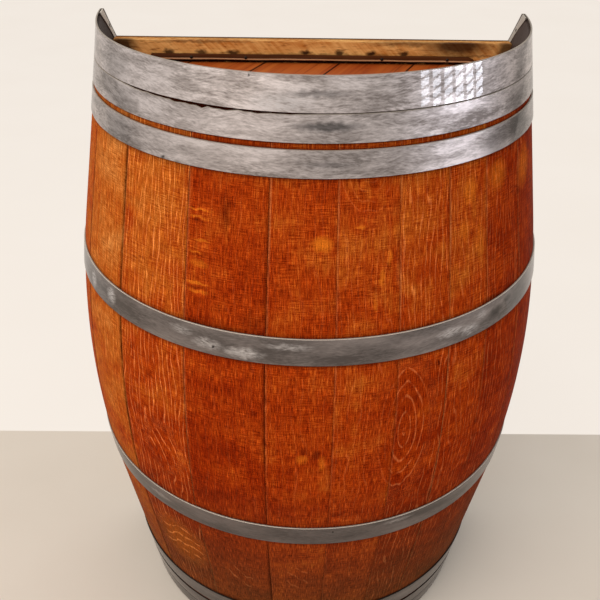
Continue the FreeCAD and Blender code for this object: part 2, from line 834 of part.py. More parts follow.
# Doors
def knob(side, x):
    # Turned knob; returns the spigot that goes through the door
    name = side + "_knob"
    height = "Worked.half_height"
    spread = "(Dims.knob_length - Dims.knob_neck_length) / 2"
    middle = "Dims.knob_neck_length + %s" % spread
    spigot = rod(
        name + "_spigot",
        "Dims.knob_spigot_radius",
        "Dims.door_thickness",
        (x, "-Dims.door_thickness", height),
        ABOUT_X,
        -90,
    )
    foot = taper(
        name + "_foot",
        "Dims.knob_foot_radius",
        "Dims.knob_neck_radius",
        "Dims.knob_neck_length",
        (x, "0", height),
        ABOUT_X,
        -90,
    )
    neck = rod(
        name + "_neck", "Dims.knob_neck_radius", spread, (x, "Dims.knob_neck_length", height), ABOUT_X, -90
    )
    grip = doc.addObject("Part::Ellipsoid", name + "_grip")
    grip.Placement = FreeCAD.Placement(HERE, FreeCAD.Rotation(ABOUT_X, -90))
    bind(grip, {"Radius1": spread, "Radius2": "Dims.knob_radius", "Radius3": "Dims.knob_radius"})
    seat(grip, (x, middle, height))
    keep(fuse(name, [spigot, foot, neck, grip]), name)
    return spigot


def leaf(name, axis, way, first, bore_radius, screws):
    # One leaf of a continuous hinge: a strip, and tongues that carry every second knuckle
    if way == "-":
        strip_low = "%s - Dims.leaf_width" % axis
        tongue_low = "%s - Worked.strip_edge" % axis
    else:
        strip_low = "%s + Worked.strip_edge" % axis
        tongue_low = axis
    parts = [
        box(
            name + "_strip",
            (strip_low, "0", "Worked.hinge_low"),
            ("Worked.strip_width", "Dims.leaf_thickness", "Worked.hinge_length"),
        )
    ]
    for number in range(first, KNUCKLES, 2):
        height = "Worked.hinge_low + %d * Worked.knuckle_pitch" % number
        parts.append(
            box(
                "%s_tongue_%d" % (name, number),
                (tongue_low, "0", height),
                ("Worked.strip_edge", "Dims.leaf_thickness", "Worked.knuckle_length"),
            )
        )
        parts.append(
            rod(
                "%s_knuckle_%d" % (name, number),
                "Dims.knuckle_radius",
                "Worked.knuckle_length",
                (axis, "Worked.hinge_y", height),
            )
        )
    bore = rod(name + "_bore", bore_radius, "Worked.hinge_length", (axis, "Worked.hinge_y", "Worked.hinge_low"))
    bored = cut(name + "_bored", fuse(name + "_blank", parts), bore)
    keep(cut(name, bored, group(name + "_holes", screws)), name)


def door(side, panel_x, knob_x, strike_x):
    axis = AXES[side]
    panel = box(
        side + "_panel",
        (panel_x, "-Dims.door_thickness", "Worked.door_low"),
        ("Worked.door_width", "Dims.door_thickness", "Worked.door_height"),
    )
    fixings = door_screws[side] + [strike_screws[side], knob(side, knob_x)]
    name = side + "_door_panel"
    keep(cut(name, panel, group(name + "_holes", fixings)), name)
    ledge_heights = {
        "lower": "Worked.door_low + Dims.ledge_end_margin",
        "upper": "Worked.door_low + Worked.door_height - Dims.ledge_end_margin - Dims.ledge_width",
    }
    for place, height in ledge_heights.items():
        name = "%s_door_%s_ledge" % (side, place)
        ledge = box(
            name,
            ("%s + Dims.ledge_side_margin" % panel_x, "-Dims.door_thickness - Dims.ledge_thickness", height),
            ("Worked.ledge_length", "Dims.ledge_thickness", "Dims.ledge_width"),
        )
        keep(ledge, name)
    plate = box(
        side + "_strike_plate",
        (strike_x, "-Dims.door_thickness - Worked.strike_thickness", "Worked.strike_low"),
        ("Dims.strike_length", "Worked.strike_thickness", "Dims.strike_height"),
    )
    keep(cut(side + "_strike", plate, strike_screws[side]), side + "_strike")
    leaf(side + "_hinge_frame_leaf", axis, OUTWARD[side], 0, "Dims.hinge_pin_radius", stile_screws[side])
    running = "Dims.hinge_pin_radius + Dims.hinge_clearance"
    leaf(side + "_hinge_door_leaf", axis, INWARD[side], 1, running, door_screws[side])
    name = side + "_hinge_pin"
    low = (axis, "Worked.hinge_y", "Worked.hinge_low")
    keep(rod(name, "Dims.hinge_pin_radius", "Worked.hinge_length", low), name)


door(
    "left",
    "-Worked.door_edge",
    "-Dims.door_centre_gap / 2 - Dims.knob_edge_inset",
    "-Worked.strike_middle - Dims.strike_length / 2",
)
door(
    "right",
    "Dims.door_centre_gap / 2",
    "Dims.door_centre_gap / 2 + Dims.knob_edge_inset",
    "Worked.strike_middle - Dims.strike_length / 2",
)

# Double magnetic catch on the inside of the top rail, facing the strike plates of both doors
catch_flange = box(
    "catch_flange",
    (
        "-Dims.catch_flange_length / 2",
        "-Dims.frame_thickness - Dims.catch_flange_thickness",
        "Worked.opening_top",
    ),
    ("Dims.catch_flange_length", "Dims.catch_flange_thickness", "Dims.catch_seat"),
)
catch_case = box(
    "catch_case",
    (
        "-Dims.catch_length / 2",
        "-Dims.frame_thickness - Dims.catch_depth",
        "Worked.opening_top - Dims.catch_hang",
    ),
    ("Dims.catch_length", "Dims.catch_depth", "Dims.catch_hang + Dims.catch_seat"),
)
catch_blank = fuse("catch_blank", [catch_flange, catch_case])
keep(cut("magnetic_catch", catch_blank, group("catch_holes", catch_screws)), "magnetic_catch")

# Check the document and write one file for each piece
doc.recompute()
for item in doc.Objects:
    if "Invalid" in item.State or "Error" in item.State:
        raise RuntimeError("%s did not build: %s" % (item.Label, item.State))
os.makedirs("parts", exist_ok=True)
for item in pieces:
    if item.Shape.isNull() or not item.Shape.isValid() or not item.Shape.Solids:
        raise RuntimeError("%s has no valid solid" % item.Label)
    item.Shape.exportStep("parts/%s.step" % item.Label)
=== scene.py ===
"""Looks of the barrel bar cabinet: staves, hoops, head, back frame and doors, with light and camera."""
import math

import bmesh
import bpy
from mathutils import Matrix, Vector, noise


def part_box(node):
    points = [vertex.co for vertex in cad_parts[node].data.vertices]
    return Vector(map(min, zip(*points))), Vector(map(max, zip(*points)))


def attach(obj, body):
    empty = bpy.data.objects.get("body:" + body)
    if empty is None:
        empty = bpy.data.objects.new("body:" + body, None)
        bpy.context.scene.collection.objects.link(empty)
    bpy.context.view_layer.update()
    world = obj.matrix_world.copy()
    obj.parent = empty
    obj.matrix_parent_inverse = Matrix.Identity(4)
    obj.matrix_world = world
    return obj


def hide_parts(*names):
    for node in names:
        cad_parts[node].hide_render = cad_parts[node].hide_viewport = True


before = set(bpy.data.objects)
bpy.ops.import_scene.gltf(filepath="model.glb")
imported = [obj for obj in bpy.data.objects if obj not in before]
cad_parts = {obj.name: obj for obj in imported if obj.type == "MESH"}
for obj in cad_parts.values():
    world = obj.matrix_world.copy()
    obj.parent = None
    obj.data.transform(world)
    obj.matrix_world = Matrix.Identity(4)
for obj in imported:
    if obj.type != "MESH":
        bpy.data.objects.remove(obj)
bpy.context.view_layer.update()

# Sizes of the cask, in metres, as the solids have them
MM = 0.001
HEIGHT = 950 * MM
BILGE = 350 * MM
END = 285 * MM
BULGE_SHARE = 1.3
SAWN_PAST_AXIS = 22 * MM
AXIS_Y = 150 * MM
BACK_Y = AXIS_Y + SAWN_PAST_AXIS
STAVE_THICKNESS = 26 * MM
STAVE_TOP = 946 * MM
CHIME_LIP = 3 * MM
CHIME_BEVEL = 54 * MM
CROZE_DEPTH = 5 * MM
CROZE_HALF = 3 * MM
HEAD_MIDDLES = (75.5 * MM, 874.5 * MM)
HEAD_TOP = 885.5 * MM
HEAD_TURN = math.radians(23)
HEAD_BOARD = 95.4 * MM
# Middle of the middle head board, across the boards from the origin
HEAD_MIDDLE_BOARD = -12.6 * MM - AXIS_Y * math.sin(HEAD_TURN)
HOOP_THICKNESS = 2 * MM

HALF_HEIGHT = HEIGHT / 2
SLOPE = BULGE_SHARE * (BILGE - END) / HALF_HEIGHT
SLANT = 1 / math.sqrt(1 + SLOPE * SLOPE)
BEND = (HALF_HEIGHT * SLOPE - BILGE + END) / (1 / SLANT - 1)
BEND_RISE = BEND * SLOPE * SLANT


def wall_radius(z):
    """Outside radius of the cask at a height: straight ends and an arc between them."""
    away = abs(z - HALF_HEIGHT)
    if away < BEND_RISE:
        return BILGE - BEND + math.sqrt(BEND * BEND - away * away)
    return END + (HALF_HEIGHT - away) * SLOPE


def inner_radius(z):
    """Inside radius of the staves, with the bevels of the chimes and the grooves for the heads."""
    for middle in HEAD_MIDDLES:
        if abs(z - middle) < CROZE_HALF:
            return wall_radius(middle) - STAVE_THICKNESS + CROZE_DEPTH
    plain = wall_radius(z) - STAVE_THICKNESS
    from_end = min(z, STAVE_TOP - z)
    if from_end < CHIME_BEVEL:
        lip = wall_radius(z) - CHIME_LIP
        return lip + (plain - lip) * from_end / CHIME_BEVEL
    return plain


# Nodes and colours

MATH = "ShaderNodeMath"
RANGE = "ShaderNodeMapRange"
NOISE = "ShaderNodeTexNoise"
VECTOR = "ShaderNodeVectorMath"
MIX = "ShaderNodeMix"


def linear(code):
    """An sRGB hex colour as linear red, green, blue and alpha."""
    parts = [int(code[place : place + 2], 16) / 255 for place in (1, 3, 5)]
    return [part / 12.92 if part <= 0.04045 else ((part + 0.055) / 1.055) ** 2.4 for part in parts] + [1.0]


def put(tree, kind, inputs, out=0, **settings):
    """Adds a node. Its inputs are values, hex colours or sockets of other nodes; returns one of its outputs."""
    made = tree.nodes.new(kind)
    for name, setting in settings.items():
        setattr(made, name, setting)
    for name, value in inputs.items():
        if isinstance(value, bpy.types.NodeSocket):
            tree.links.new(value, made.inputs[name])
        else:
            made.inputs[name].default_value = linear(value) if isinstance(value, str) else value
    return made.outputs[out]


def new_finish(name, constants):
    """A new material, its tree and its shader, with the shader's constant values set."""
    made = bpy.data.materials.new(name)
    made.use_nodes = True
    shader = made.node_tree.nodes["Principled BSDF"]
    for socket, value in constants.items():
        shader.inputs[socket].default_value = linear(value) if isinstance(value, str) else value
    return made, made.node_tree, shader.inputs


# Size of the teeth of a mark's ragged border
TEETH = 9 * MM


def ragged_ovals(tree, place, marks):
    """Strength of a set of ovals with ragged borders, which stand for stains and for painted shade, sheen and
    reflection. Each is its middle and half sizes in millimetres, and how strong it is."""
    ragged = put(tree, NOISE, {"Vector": place, "Scale": 1 / TEETH, "Detail": 3.0}, "Color")
    ragged = put(tree, VECTOR, {0: ragged, 1: (0.5, 0.5, 0.5)}, operation="SUBTRACT")
    ragged = put(tree, VECTOR, {0: ragged, 1: (TEETH, 0, TEETH), 2: place}, operation="MULTIPLY_ADD")
    total = 0.0
    for middle, half_sizes, strength in marks:
        away = put(tree, VECTOR, {0: ragged, 1: [part * MM for part in middle]}, operation="SUBTRACT")
        shares = [1 / (part * MM) for part in half_sizes]
        away = put(tree, VECTOR, {0: away, 1: shares}, operation="MULTIPLY")
        away = put(tree, VECTOR, {0: away}, "Value", operation="LENGTH")
        spot = put(tree, RANGE, {"Value": away, "From Min": 1.0, "From Max": 0.35, "To Max": strength})
        total = put(tree, MATH, {0: total, 1: spot}, operation="MAXIMUM")
    return total


def on_cask(degrees, height):
    """A point on the outside of the cask, in millimetres, from its angle right of the front and its height."""
    radius = wall_radius(height * MM) / MM
    turn = math.radians(degrees)
    return radius * math.sin(turn), AXIS_Y / MM - radius * math.cos(turn), height


def marks_on_cask(*rows):
    """Marks on the outside of the cask: stains, and painted shade, sheen and reflection. A row is a mark's
    angle and height, its half sizes across, deep and high, and how strong it is."""
    return [(on_cask(degrees, height), half_sizes, strength) for degrees, height, *half_sizes, strength in rows]


def stave_oak():
    """Oak staves, sawn, stained orange-red and varnished satin: the stain took unevenly, fine grain is crossed
    by saw marks like linen, and pale wavy rays show. The layer tone holds how pale each stave is, which
    includes painted shade towards the foot and a painted sheen on the left staves, its amount of rays, the dirt
    and painted shade at the joints and beside and under the hoops, and as alpha the rub and painted highlight
    along the left edges."""
    made, tree, shader = new_finish(
        "oak_stained_varnished", {"Specular IOR Level": 0.003, "Specular Tint": "#ffa45e"}
    )
    place = put(tree, "ShaderNodeTexCoord", {}, "Object")
    grain = put(tree, "ShaderNodeUVMap", {}, uv_map="grain")
    across = put(tree, "ShaderNodeSeparateXYZ", {0: grain}, "X")
    tone = put(tree, "ShaderNodeAttribute", {}, attribute_name="tone")
    rubbed_and_lit = tone.node.outputs["Alpha"]
    paleness, rays, dirt_and_shade = put(tree, "ShaderNodeSeparateColor", {"Color": tone}).node.outputs[:]

    # Clouds of stain, 45 mm high and half as wide again
    drawn = put(tree, VECTOR, {0: grain, 1: (0.7, 1, 1)}, operation="MULTIPLY")
    clouds = put(tree, NOISE, {"Vector": drawn, "Scale": 1 / (45 * MM), "Detail": 4.0, "Roughness": 0.55})
    # Grain, really 0.5 mm wide, drawn 1 mm wide and 14 mm long so that it shows, with pores as specks
    long_way = put(tree, VECTOR, {0: grain, 1: (1, 0.07, 1)}, operation="MULTIPLY")
    streaks = put(tree, NOISE, {"Vector": long_way, "Scale": 1 / (1.0 * MM), "Detail": 1.0})
    specks = put(tree, NOISE, {"Vector": grain, "Scale": 1 / (1.5 * MM), "Detail": 1.0})
    # Broad bands of the grain, 7 mm wide and 120 mm long
    band_way = put(tree, VECTOR, {0: grain, 1: (1, 0.06, 1)}, operation="MULTIPLY")
    bands = put(tree, NOISE, {"Vector": band_way, "Scale": 1 / (7 * MM), "Detail": 2.0, "Distortion": 0.4})
    # Saw marks across the grain, drawn 1.2 mm apart and 18 mm long so that they show, in patches of 40 mm
    cross_way = put(tree, VECTOR, {0: grain, 1: (0.066, 1, 1)}, operation="MULTIPLY")
    saw = put(tree, NOISE, {"Vector": cross_way, "Scale": 1 / (1.2 * MM), "Detail": 1.0})
    patches = put(tree, NOISE, {"Vector": drawn, "Scale": 1 / (40 * MM), "Detail": 2.0})
    patches = put(tree, RANGE, {"Value": patches, "From Min": 0.34, "From Max": 0.60, "To Min": 0.25})
    weave = put(tree, MATH, {0: saw, 1: 0.5}, operation="SUBTRACT")
    weave = put(tree, MATH, {0: weave, 1: patches}, operation="MULTIPLY")
    linen = put(tree, MATH, {0: specks, 1: 0.6, 2: weave}, operation="MULTIPLY_ADD")
    linen = put(tree, MATH, {0: streaks, 1: 1.1, 2: linen}, operation="MULTIPLY_ADD")
    linen = put(tree, MATH, {0: linen, 1: 0.85}, operation="SUBTRACT")
    # Rays: lines 8 mm apart that run up the stave, wavy and broken
    bent = put(tree, VECTOR, {0: grain, 1: (1, 0.22, 1)}, operation="MULTIPLY")
    sway = put(tree, NOISE, {"Vector": bent, "Scale": 1 / (26 * MM), "Detail": 2.0, "Roughness": 0.45})
    sway = put(tree, MATH, {0: sway, 1: 4.0}, operation="MULTIPLY")
    level = put(tree, MATH, {0: across, 1: 1 / (8 * MM), 2: sway}, operation="MULTIPLY_ADD")
    # Growth rings, cut so that they show as ovals or arcs on a few spots of the cask front
    for middle, squeeze, spacing, spot, reach, amount in RING_FIGURES:
        offsets = []
        for point in (middle, spot):
            away = put(tree, VECTOR, {0: place, 1: [part * MM for part in point]}, operation="SUBTRACT")
            away = put(tree, VECTOR, {0: away, 1: (1, 1, squeeze)}, operation="MULTIPLY")
            offsets.append(put(tree, VECTOR, {0: away}, "Value", operation="LENGTH"))
        rings = put(tree, MATH, {0: offsets[0], 1: 1 / (spacing * MM), 2: 0.35}, operation="MULTIPLY_ADD")
        rings = put(tree, MATH, {0: sway, 1: 0.4, 2: rings}, operation="MULTIPLY_ADD")
        full = reach * MM - RING_FADE
        in_rings = put(tree, RANGE, {"Value": offsets[1], "From Min": reach * MM, "From Max": full})
        level = put(tree, MIX, {"Factor": in_rings, 2: level, 3: rings})
        rays = put(tree, MATH, {0: in_rings, 1: amount, 2: rays}, operation="MULTIPLY_ADD")
    level = put(tree, MATH, {0: level, 1: 0.5}, operation="PINGPONG")
    lines = put(tree, RANGE, {"Value": level, "From Min": 0.385, "From Max": 0.455})
    short = put(tree, VECTOR, {0: grain, 1: (1, 0.36, 1)}, operation="MULTIPLY")
    breaks = put(tree, NOISE, {"Vector": short, "Scale": 1 / (11 * MM), "Detail": 2.0})
    breaks = put(tree, RANGE, {"Value": breaks, "From Min": 0.36, "From Max": 0.52})
    lines = put(tree, MATH, {0: lines, 1: breaks}, operation="MULTIPLY")
    lines = put(tree, MATH, {0: lines, 1: rays}, operation="MULTIPLY")

    pale = put(tree, MATH, {0: clouds, 1: 0.70, 2: paleness}, operation="MULTIPLY_ADD")
    pale = put(tree, MATH, {0: bands, 1: 0.30, 2: pale}, operation="MULTIPLY_ADD")
    pale = put(tree, MATH, {0: linen, 1: 0.4, 2: pale}, operation="MULTIPLY_ADD")
    pale = put(tree, MATH, {0: pale, 1: 0.50}, operation="SUBTRACT", use_clamp=True)
    wood = "#6b1905"
    for start, stop, colour in (
        (0.0, 0.25, "#892606"), (0.25, 0.45, "#a53b0c"), (0.45, 0.70, "#b65e1d"), (0.70, 1.0, "#cc8443"),
    ):
        share = put(tree, RANGE, {"Value": pale, "From Min": start, "From Max": stop})
        wood = put(tree, MIX, {"Factor": share, 6: wood, 7: colour}, 2, data_type="RGBA")
    # Patches where the stain was rubbed thin, with a painted sheen of the window right of the front, and dark
    # spots of old knots and drips
    thin_and_sheen = ragged_ovals(tree, place, THIN_STAIN_AND_SHEEN)
    wood = put(tree, MIX, {"Factor": thin_and_sheen, 6: wood, 7: "#d5701c"}, 2, data_type="RGBA")
    dark = ragged_ovals(tree, place, DARK_SPOTS)
    wood = put(tree, MIX, {"Factor": dark, 6: wood, 7: "#4a1005"}, 2, data_type="RGBA")
    ray_share = put(tree, MATH, {0: lines, 1: 0.70}, operation="MULTIPLY")
    ray_wood = put(tree, VECTOR, {0: wood, "Scale": 2.0}, operation="SCALE")
    ray_wood = put(tree, MIX, {"Factor": 0.25, 6: ray_wood, 7: "#f2b873"}, 2, data_type="RGBA")
    wood = put(tree, MIX, {"Factor": ray_share, 6: wood, 7: ray_wood}, 2, data_type="RGBA")
    # Painted shade that darkens and greys the foot of the cask
    height = put(tree, "ShaderNodeSeparateXYZ", {0: place}, "Z")
    foot_shade = put(tree, RANGE, {"Value": height, "From Min": SHADE_BEGINS_BELOW, "From Max": SHADE_FULL_BELOW, "To Max": 0.55})
    wood = put(tree, MIX, {"Factor": foot_shade, 6: wood, 7: "#4b4024"}, 2, data_type="RGBA")
    # Rub and painted highlight along the left edges of the staves, following the pale grain streaks
    rub_and_highlight_share = put(tree, MATH, {0: rubbed_and_lit, 1: streaks}, operation="MULTIPLY")
    wood = put(tree, MIX, {"Factor": rub_and_highlight_share, 6: wood, 7: "#d98550"}, 2, data_type="RGBA")
    # Dirt and painted shade at the joints and beside and under the hoops
    wood = put(tree, MIX, {"Factor": dirt_and_shade, 6: wood, 7: "#1f0703"}, 2, data_type="RGBA")
    # Thin bright lines of the grain stand out from the linen
    hairs = put(
        tree, RANGE, {"Value": streaks, "From Min": 0.56, "From Max": 0.70, "To Min": 0.97, "To Max": 1.20}
    )
    fine = put(tree, MATH, {0: linen, 1: 1.25, 2: hairs}, operation="MULTIPLY_ADD")
    wood = put(tree, VECTOR, {0: wood, "Scale": fine}, operation="SCALE")

    rough = put(tree, MATH, {0: streaks, 1: 0.25, 2: 0.38}, operation="MULTIPLY_ADD")
    relief = put(tree, MATH, {0: lines, 1: 0.9, 2: linen}, operation="MULTIPLY_ADD")
    bump = put(tree, "ShaderNodeBump", {"Height": relief, "Strength": 0.45, "Distance": 0.35 * MM})
    tree.links.new(wood, shader["Base Color"])
    tree.links.new(rough, shader["Roughness"])
    tree.links.new(bump, shader["Normal"])
    return made


# Heights below which the painted shade of the foot begins and is full
SHADE_BEGINS_BELOW, SHADE_FULL_BELOW = 420 * MM, 120 * MM
# Growth ring figures on the staves: middle of the rings, how much their height is squeezed, their spacing,
# middle of the spot where they show, its reach, all in millimetres, and how much they add to the rays there.
# Over the last millimetres of their reach they fade out
RING_FADE = 14 * MM
RING_FIGURES = (
    (on_cask(20.2, 500), 0.36, 8, on_cask(20.2, 500), 50, 0.0),
    (on_cask(11.4, 848), 0.75, 8, on_cask(11.4, 848), 50, 0.0),
    (on_cask(-33.0, 110), 1.0, 19, on_cask(-36.8, 215), 56, 1.0),
    (on_cask(-13.0, 262), 0.6, 15, on_cask(-18.5, 180), 34, 0.7),
    (on_cask(-8.0, 120), 0.6, 14, on_cask(-2.5, 205), 32, 0.4),
    (on_cask(-47.0, 380), 0.8, 12, on_cask(-35.5, 430), 40, 0.0),
)
# Where the stain was rubbed thin, and right of the front, from 34 to 60 degrees, a painted sheen of the window;
# and dark spots
THIN_STAIN_AND_SHEEN = marks_on_cask(
    (1.3, 767, 15, 30, 11, 0.85), (-25.5, 793, 22, 22, 2, 0.75), (-25.5, 783, 18, 18, 2, 0.6),
    (-24.5, 757, 15, 15, 2, 0.7), (-26.0, 742, 14, 14, 2, 0.55), (-24.8, 728, 16, 16, 5, 0.5),
    (-25.2, 703, 20, 20, 2.4, 0.8), (-25.0, 693, 18, 18, 3, 0.6), (36.0, 806, 14, 14, 22, 0.5),
    (34.5, 760, 12, 12, 18, 0.4), (39.0, 740, 10, 10, 40, 0.35), (15.6, 747, 4, 8, 13, 0.6),
    (14.0, 722, 4, 8, 14, 0.6), (12.6, 690, 4, 8, 11, 0.45), (9.3, 786, 8, 10, 3, 0.7),
    (-37.0, 215, 60, 60, 70, 0.42), (-2.0, 470, 10, 30, 10, 0.5), (2.5, 462, 6, 30, 16, 0.45),
    (46.0, 812, 24, 24, 24, 0.45), (60.0, 800, 20, 34, 34, 0.45),
)
DARK_SPOTS = marks_on_cask(
    (0.9, 478, 9, 30, 11, 0.55), (-1.5, 484, 7, 30, 8, 0.5), (27.5, 594, 2.5, 20, 8, 0.95),
    (-19.2, 795, 9, 10, 34, 0.5), (-25.5, 779, 18, 18, 1.8, 0.4), (-25.5, 738, 24, 24, 1.8, 0.4),
    (-25.2, 698, 20, 20, 1.8, 0.45), (42.6, 652, 30, 30, 8, 0.6), (-22.0, 650, 60, 60, 16, 0.35),
    (-12.0, 665, 26, 26, 22, 0.3),
)


# Distances from half height at which the weathering of the chimes starts and is full
WEATHER_STARTS, WEATHERED = 390 * MM, 403 * MM


def inside_oak():
    """Inside of the staves: bare sawn oak, pale brown in the cask and weathered to grey-brown at the chimes."""
    made, tree, shader = new_finish("oak_inside_weathered", {"Roughness": 0.62, "Specular IOR Level": 0.15})
    place = put(tree, "ShaderNodeTexCoord", {}, "Object")
    height = put(tree, "ShaderNodeSeparateXYZ", {0: place}, "Z")
    from_middle = put(tree, MATH, {0: height, 1: HALF_HEIGHT}, operation="SUBTRACT")
    from_middle = put(tree, MATH, {0: from_middle}, operation="ABSOLUTE")
    chime = put(tree, RANGE, {"Value": from_middle, "From Min": WEATHER_STARTS, "From Max": WEATHERED})
    # Grain 4 mm wide and 100 mm long
    drawn = put(tree, VECTOR, {0: place, 1: (1, 1, 0.04)}, operation="MULTIPLY")
    streaks = put(tree, NOISE, {"Vector": drawn, "Scale": 1 / (4 * MM), "Detail": 3.0})
    plain = put(tree, MIX, {"Factor": streaks, 6: "#7d5630", 7: "#b98b56"}, 2, data_type="RGBA")
    weathered = put(tree, MIX, {"Factor": streaks, 6: "#221813", 7: "#54423a"}, 2, data_type="RGBA")
    wood = put(tree, MIX, {"Factor": chime, 6: plain, 7: weathered}, 2, data_type="RGBA")
    bump = put(tree, "ShaderNodeBump", {"Height": streaks, "Strength": 0.4, "Distance": 0.3 * MM})
    tree.links.new(wood, shader["Base Color"])
    tree.links.new(bump, shader["Normal"])
    return made


def oak_board(name, draw, colours, constants, turn=0.0, bands_mm=16, saw=0.0, marks=(), dirty_joints=False):
    """Oak board with grain that runs one way through the whole piece, so that its ends show end grain. draw
    lengthens the pattern along the grain, colours are the pale, middle and dark wood and that of stains and
    painted shade, saw is how strongly slanting saw marks show, marks are stains and painted shade, and
    dirty_joints darkens the joints of a head."""
    made, tree, shader = new_finish(name, constants)
    place = put(tree, "ShaderNodeTexCoord", {}, "Object")
    turned = put(tree, "ShaderNodeVectorRotate", {"Vector": place, "Angle": turn}, rotation_type="Z_AXIS")
    drawn = put(tree, VECTOR, {0: turned, 1: draw}, operation="MULTIPLY")
    # Grain, really 1 mm wide, drawn 3.2 mm wide so that it shows, in broader bands
    streaks = put(tree, NOISE, {"Vector": drawn, "Scale": 1 / (3.2 * MM), "Detail": 3.0, "Roughness": 0.6})
    bands = put(tree, NOISE, {"Vector": drawn, "Scale": 1 / (bands_mm * MM), "Detail": 2.0, "Distortion": 0.6})
    deep = put(tree, MATH, {0: bands, 1: 1.6, 2: -0.35}, operation="MULTIPLY_ADD")
    deep = put(tree, MATH, {0: streaks, 1: 0.9, 2: deep}, operation="MULTIPLY_ADD")
    relief = streaks
    if saw:
        # Marks of a hand-held saw, 4 mm apart, slanting across the face
        slanted = put(tree, "ShaderNodeVectorRotate", {"Vector": place, "Angle": -0.8}, rotation_type="Y_AXIS")
        slanted = put(tree, VECTOR, {0: slanted, 1: (0.05, 1, 1)}, operation="MULTIPLY")
        scores = put(tree, NOISE, {"Vector": slanted, "Scale": 1 / (4 * MM), "Detail": 2.0})
        deep = put(tree, MATH, {0: scores, 1: saw, 2: deep}, operation="MULTIPLY_ADD")
        deep = put(tree, MATH, {0: deep, 1: saw / 2}, operation="SUBTRACT")
        relief = put(tree, MATH, {0: scores, 1: streaks}, operation="ADD")
    deep = put(tree, MATH, {0: deep, 1: 0.45}, operation="SUBTRACT", use_clamp=True)
    wood = put(tree, MIX, {"Factor": deep, 6: colours[0], 7: colours[1]}, 2, data_type="RGBA")
    pores = put(tree, RANGE, {"Value": streaks, "From Min": 0.56, "From Max": 0.74, "To Max": 0.7})
    wood = put(tree, MIX, {"Factor": pores, 6: wood, 7: colours[2]}, 2, data_type="RGBA")
    if marks:
        # Stains, and painted shade where the marks stand for it
        marked_and_shaded = ragged_ovals(tree, place, marks)
        wood = put(tree, MIX, {"Factor": marked_and_shaded, 6: wood, 7: colours[3]}, 2, data_type="RGBA")
    if dirty_joints:
        # Dirt up to 2 mm to each side of the joints, which are evenly spaced over the middle boards
        from_middle = put(tree, "ShaderNodeSeparateXYZ", {0: turned}, "X")
        from_middle = put(tree, MATH, {0: from_middle, 1: HEAD_MIDDLE_BOARD}, operation="SUBTRACT")
        bounded = put(tree, MATH, {0: from_middle}, operation="ABSOLUTE")
        bounded = put(tree, MATH, {0: bounded, 1: 2 * HEAD_BOARD}, operation="LESS_THAN")
        from_joint = put(tree, MATH, {0: from_middle, 1: HEAD_BOARD / 2}, operation="SUBTRACT")
        from_joint = put(tree, MATH, {0: from_joint, 1: HEAD_BOARD / 2}, operation="PINGPONG")
        dirt_and_shade = put(
            tree, RANGE, {"Value": from_joint, "From Min": 2.2 * MM, "From Max": 0.7 * MM, "To Max": 0.9}
        )
        dirt_and_shade = put(tree, MATH, {0: dirt_and_shade, 1: bounded}, operation="MULTIPLY")
        wood = put(tree, MIX, {"Factor": dirt_and_shade, 6: wood, 7: colours[3]}, 2, data_type="RGBA")
    bump = put(tree, "ShaderNodeBump", {"Height": relief, "Strength": 0.4, "Distance": 0.3 * MM})
    tree.links.new(wood, shader["Base Color"])
    tree.links.new(bump, shader["Normal"])
    return made


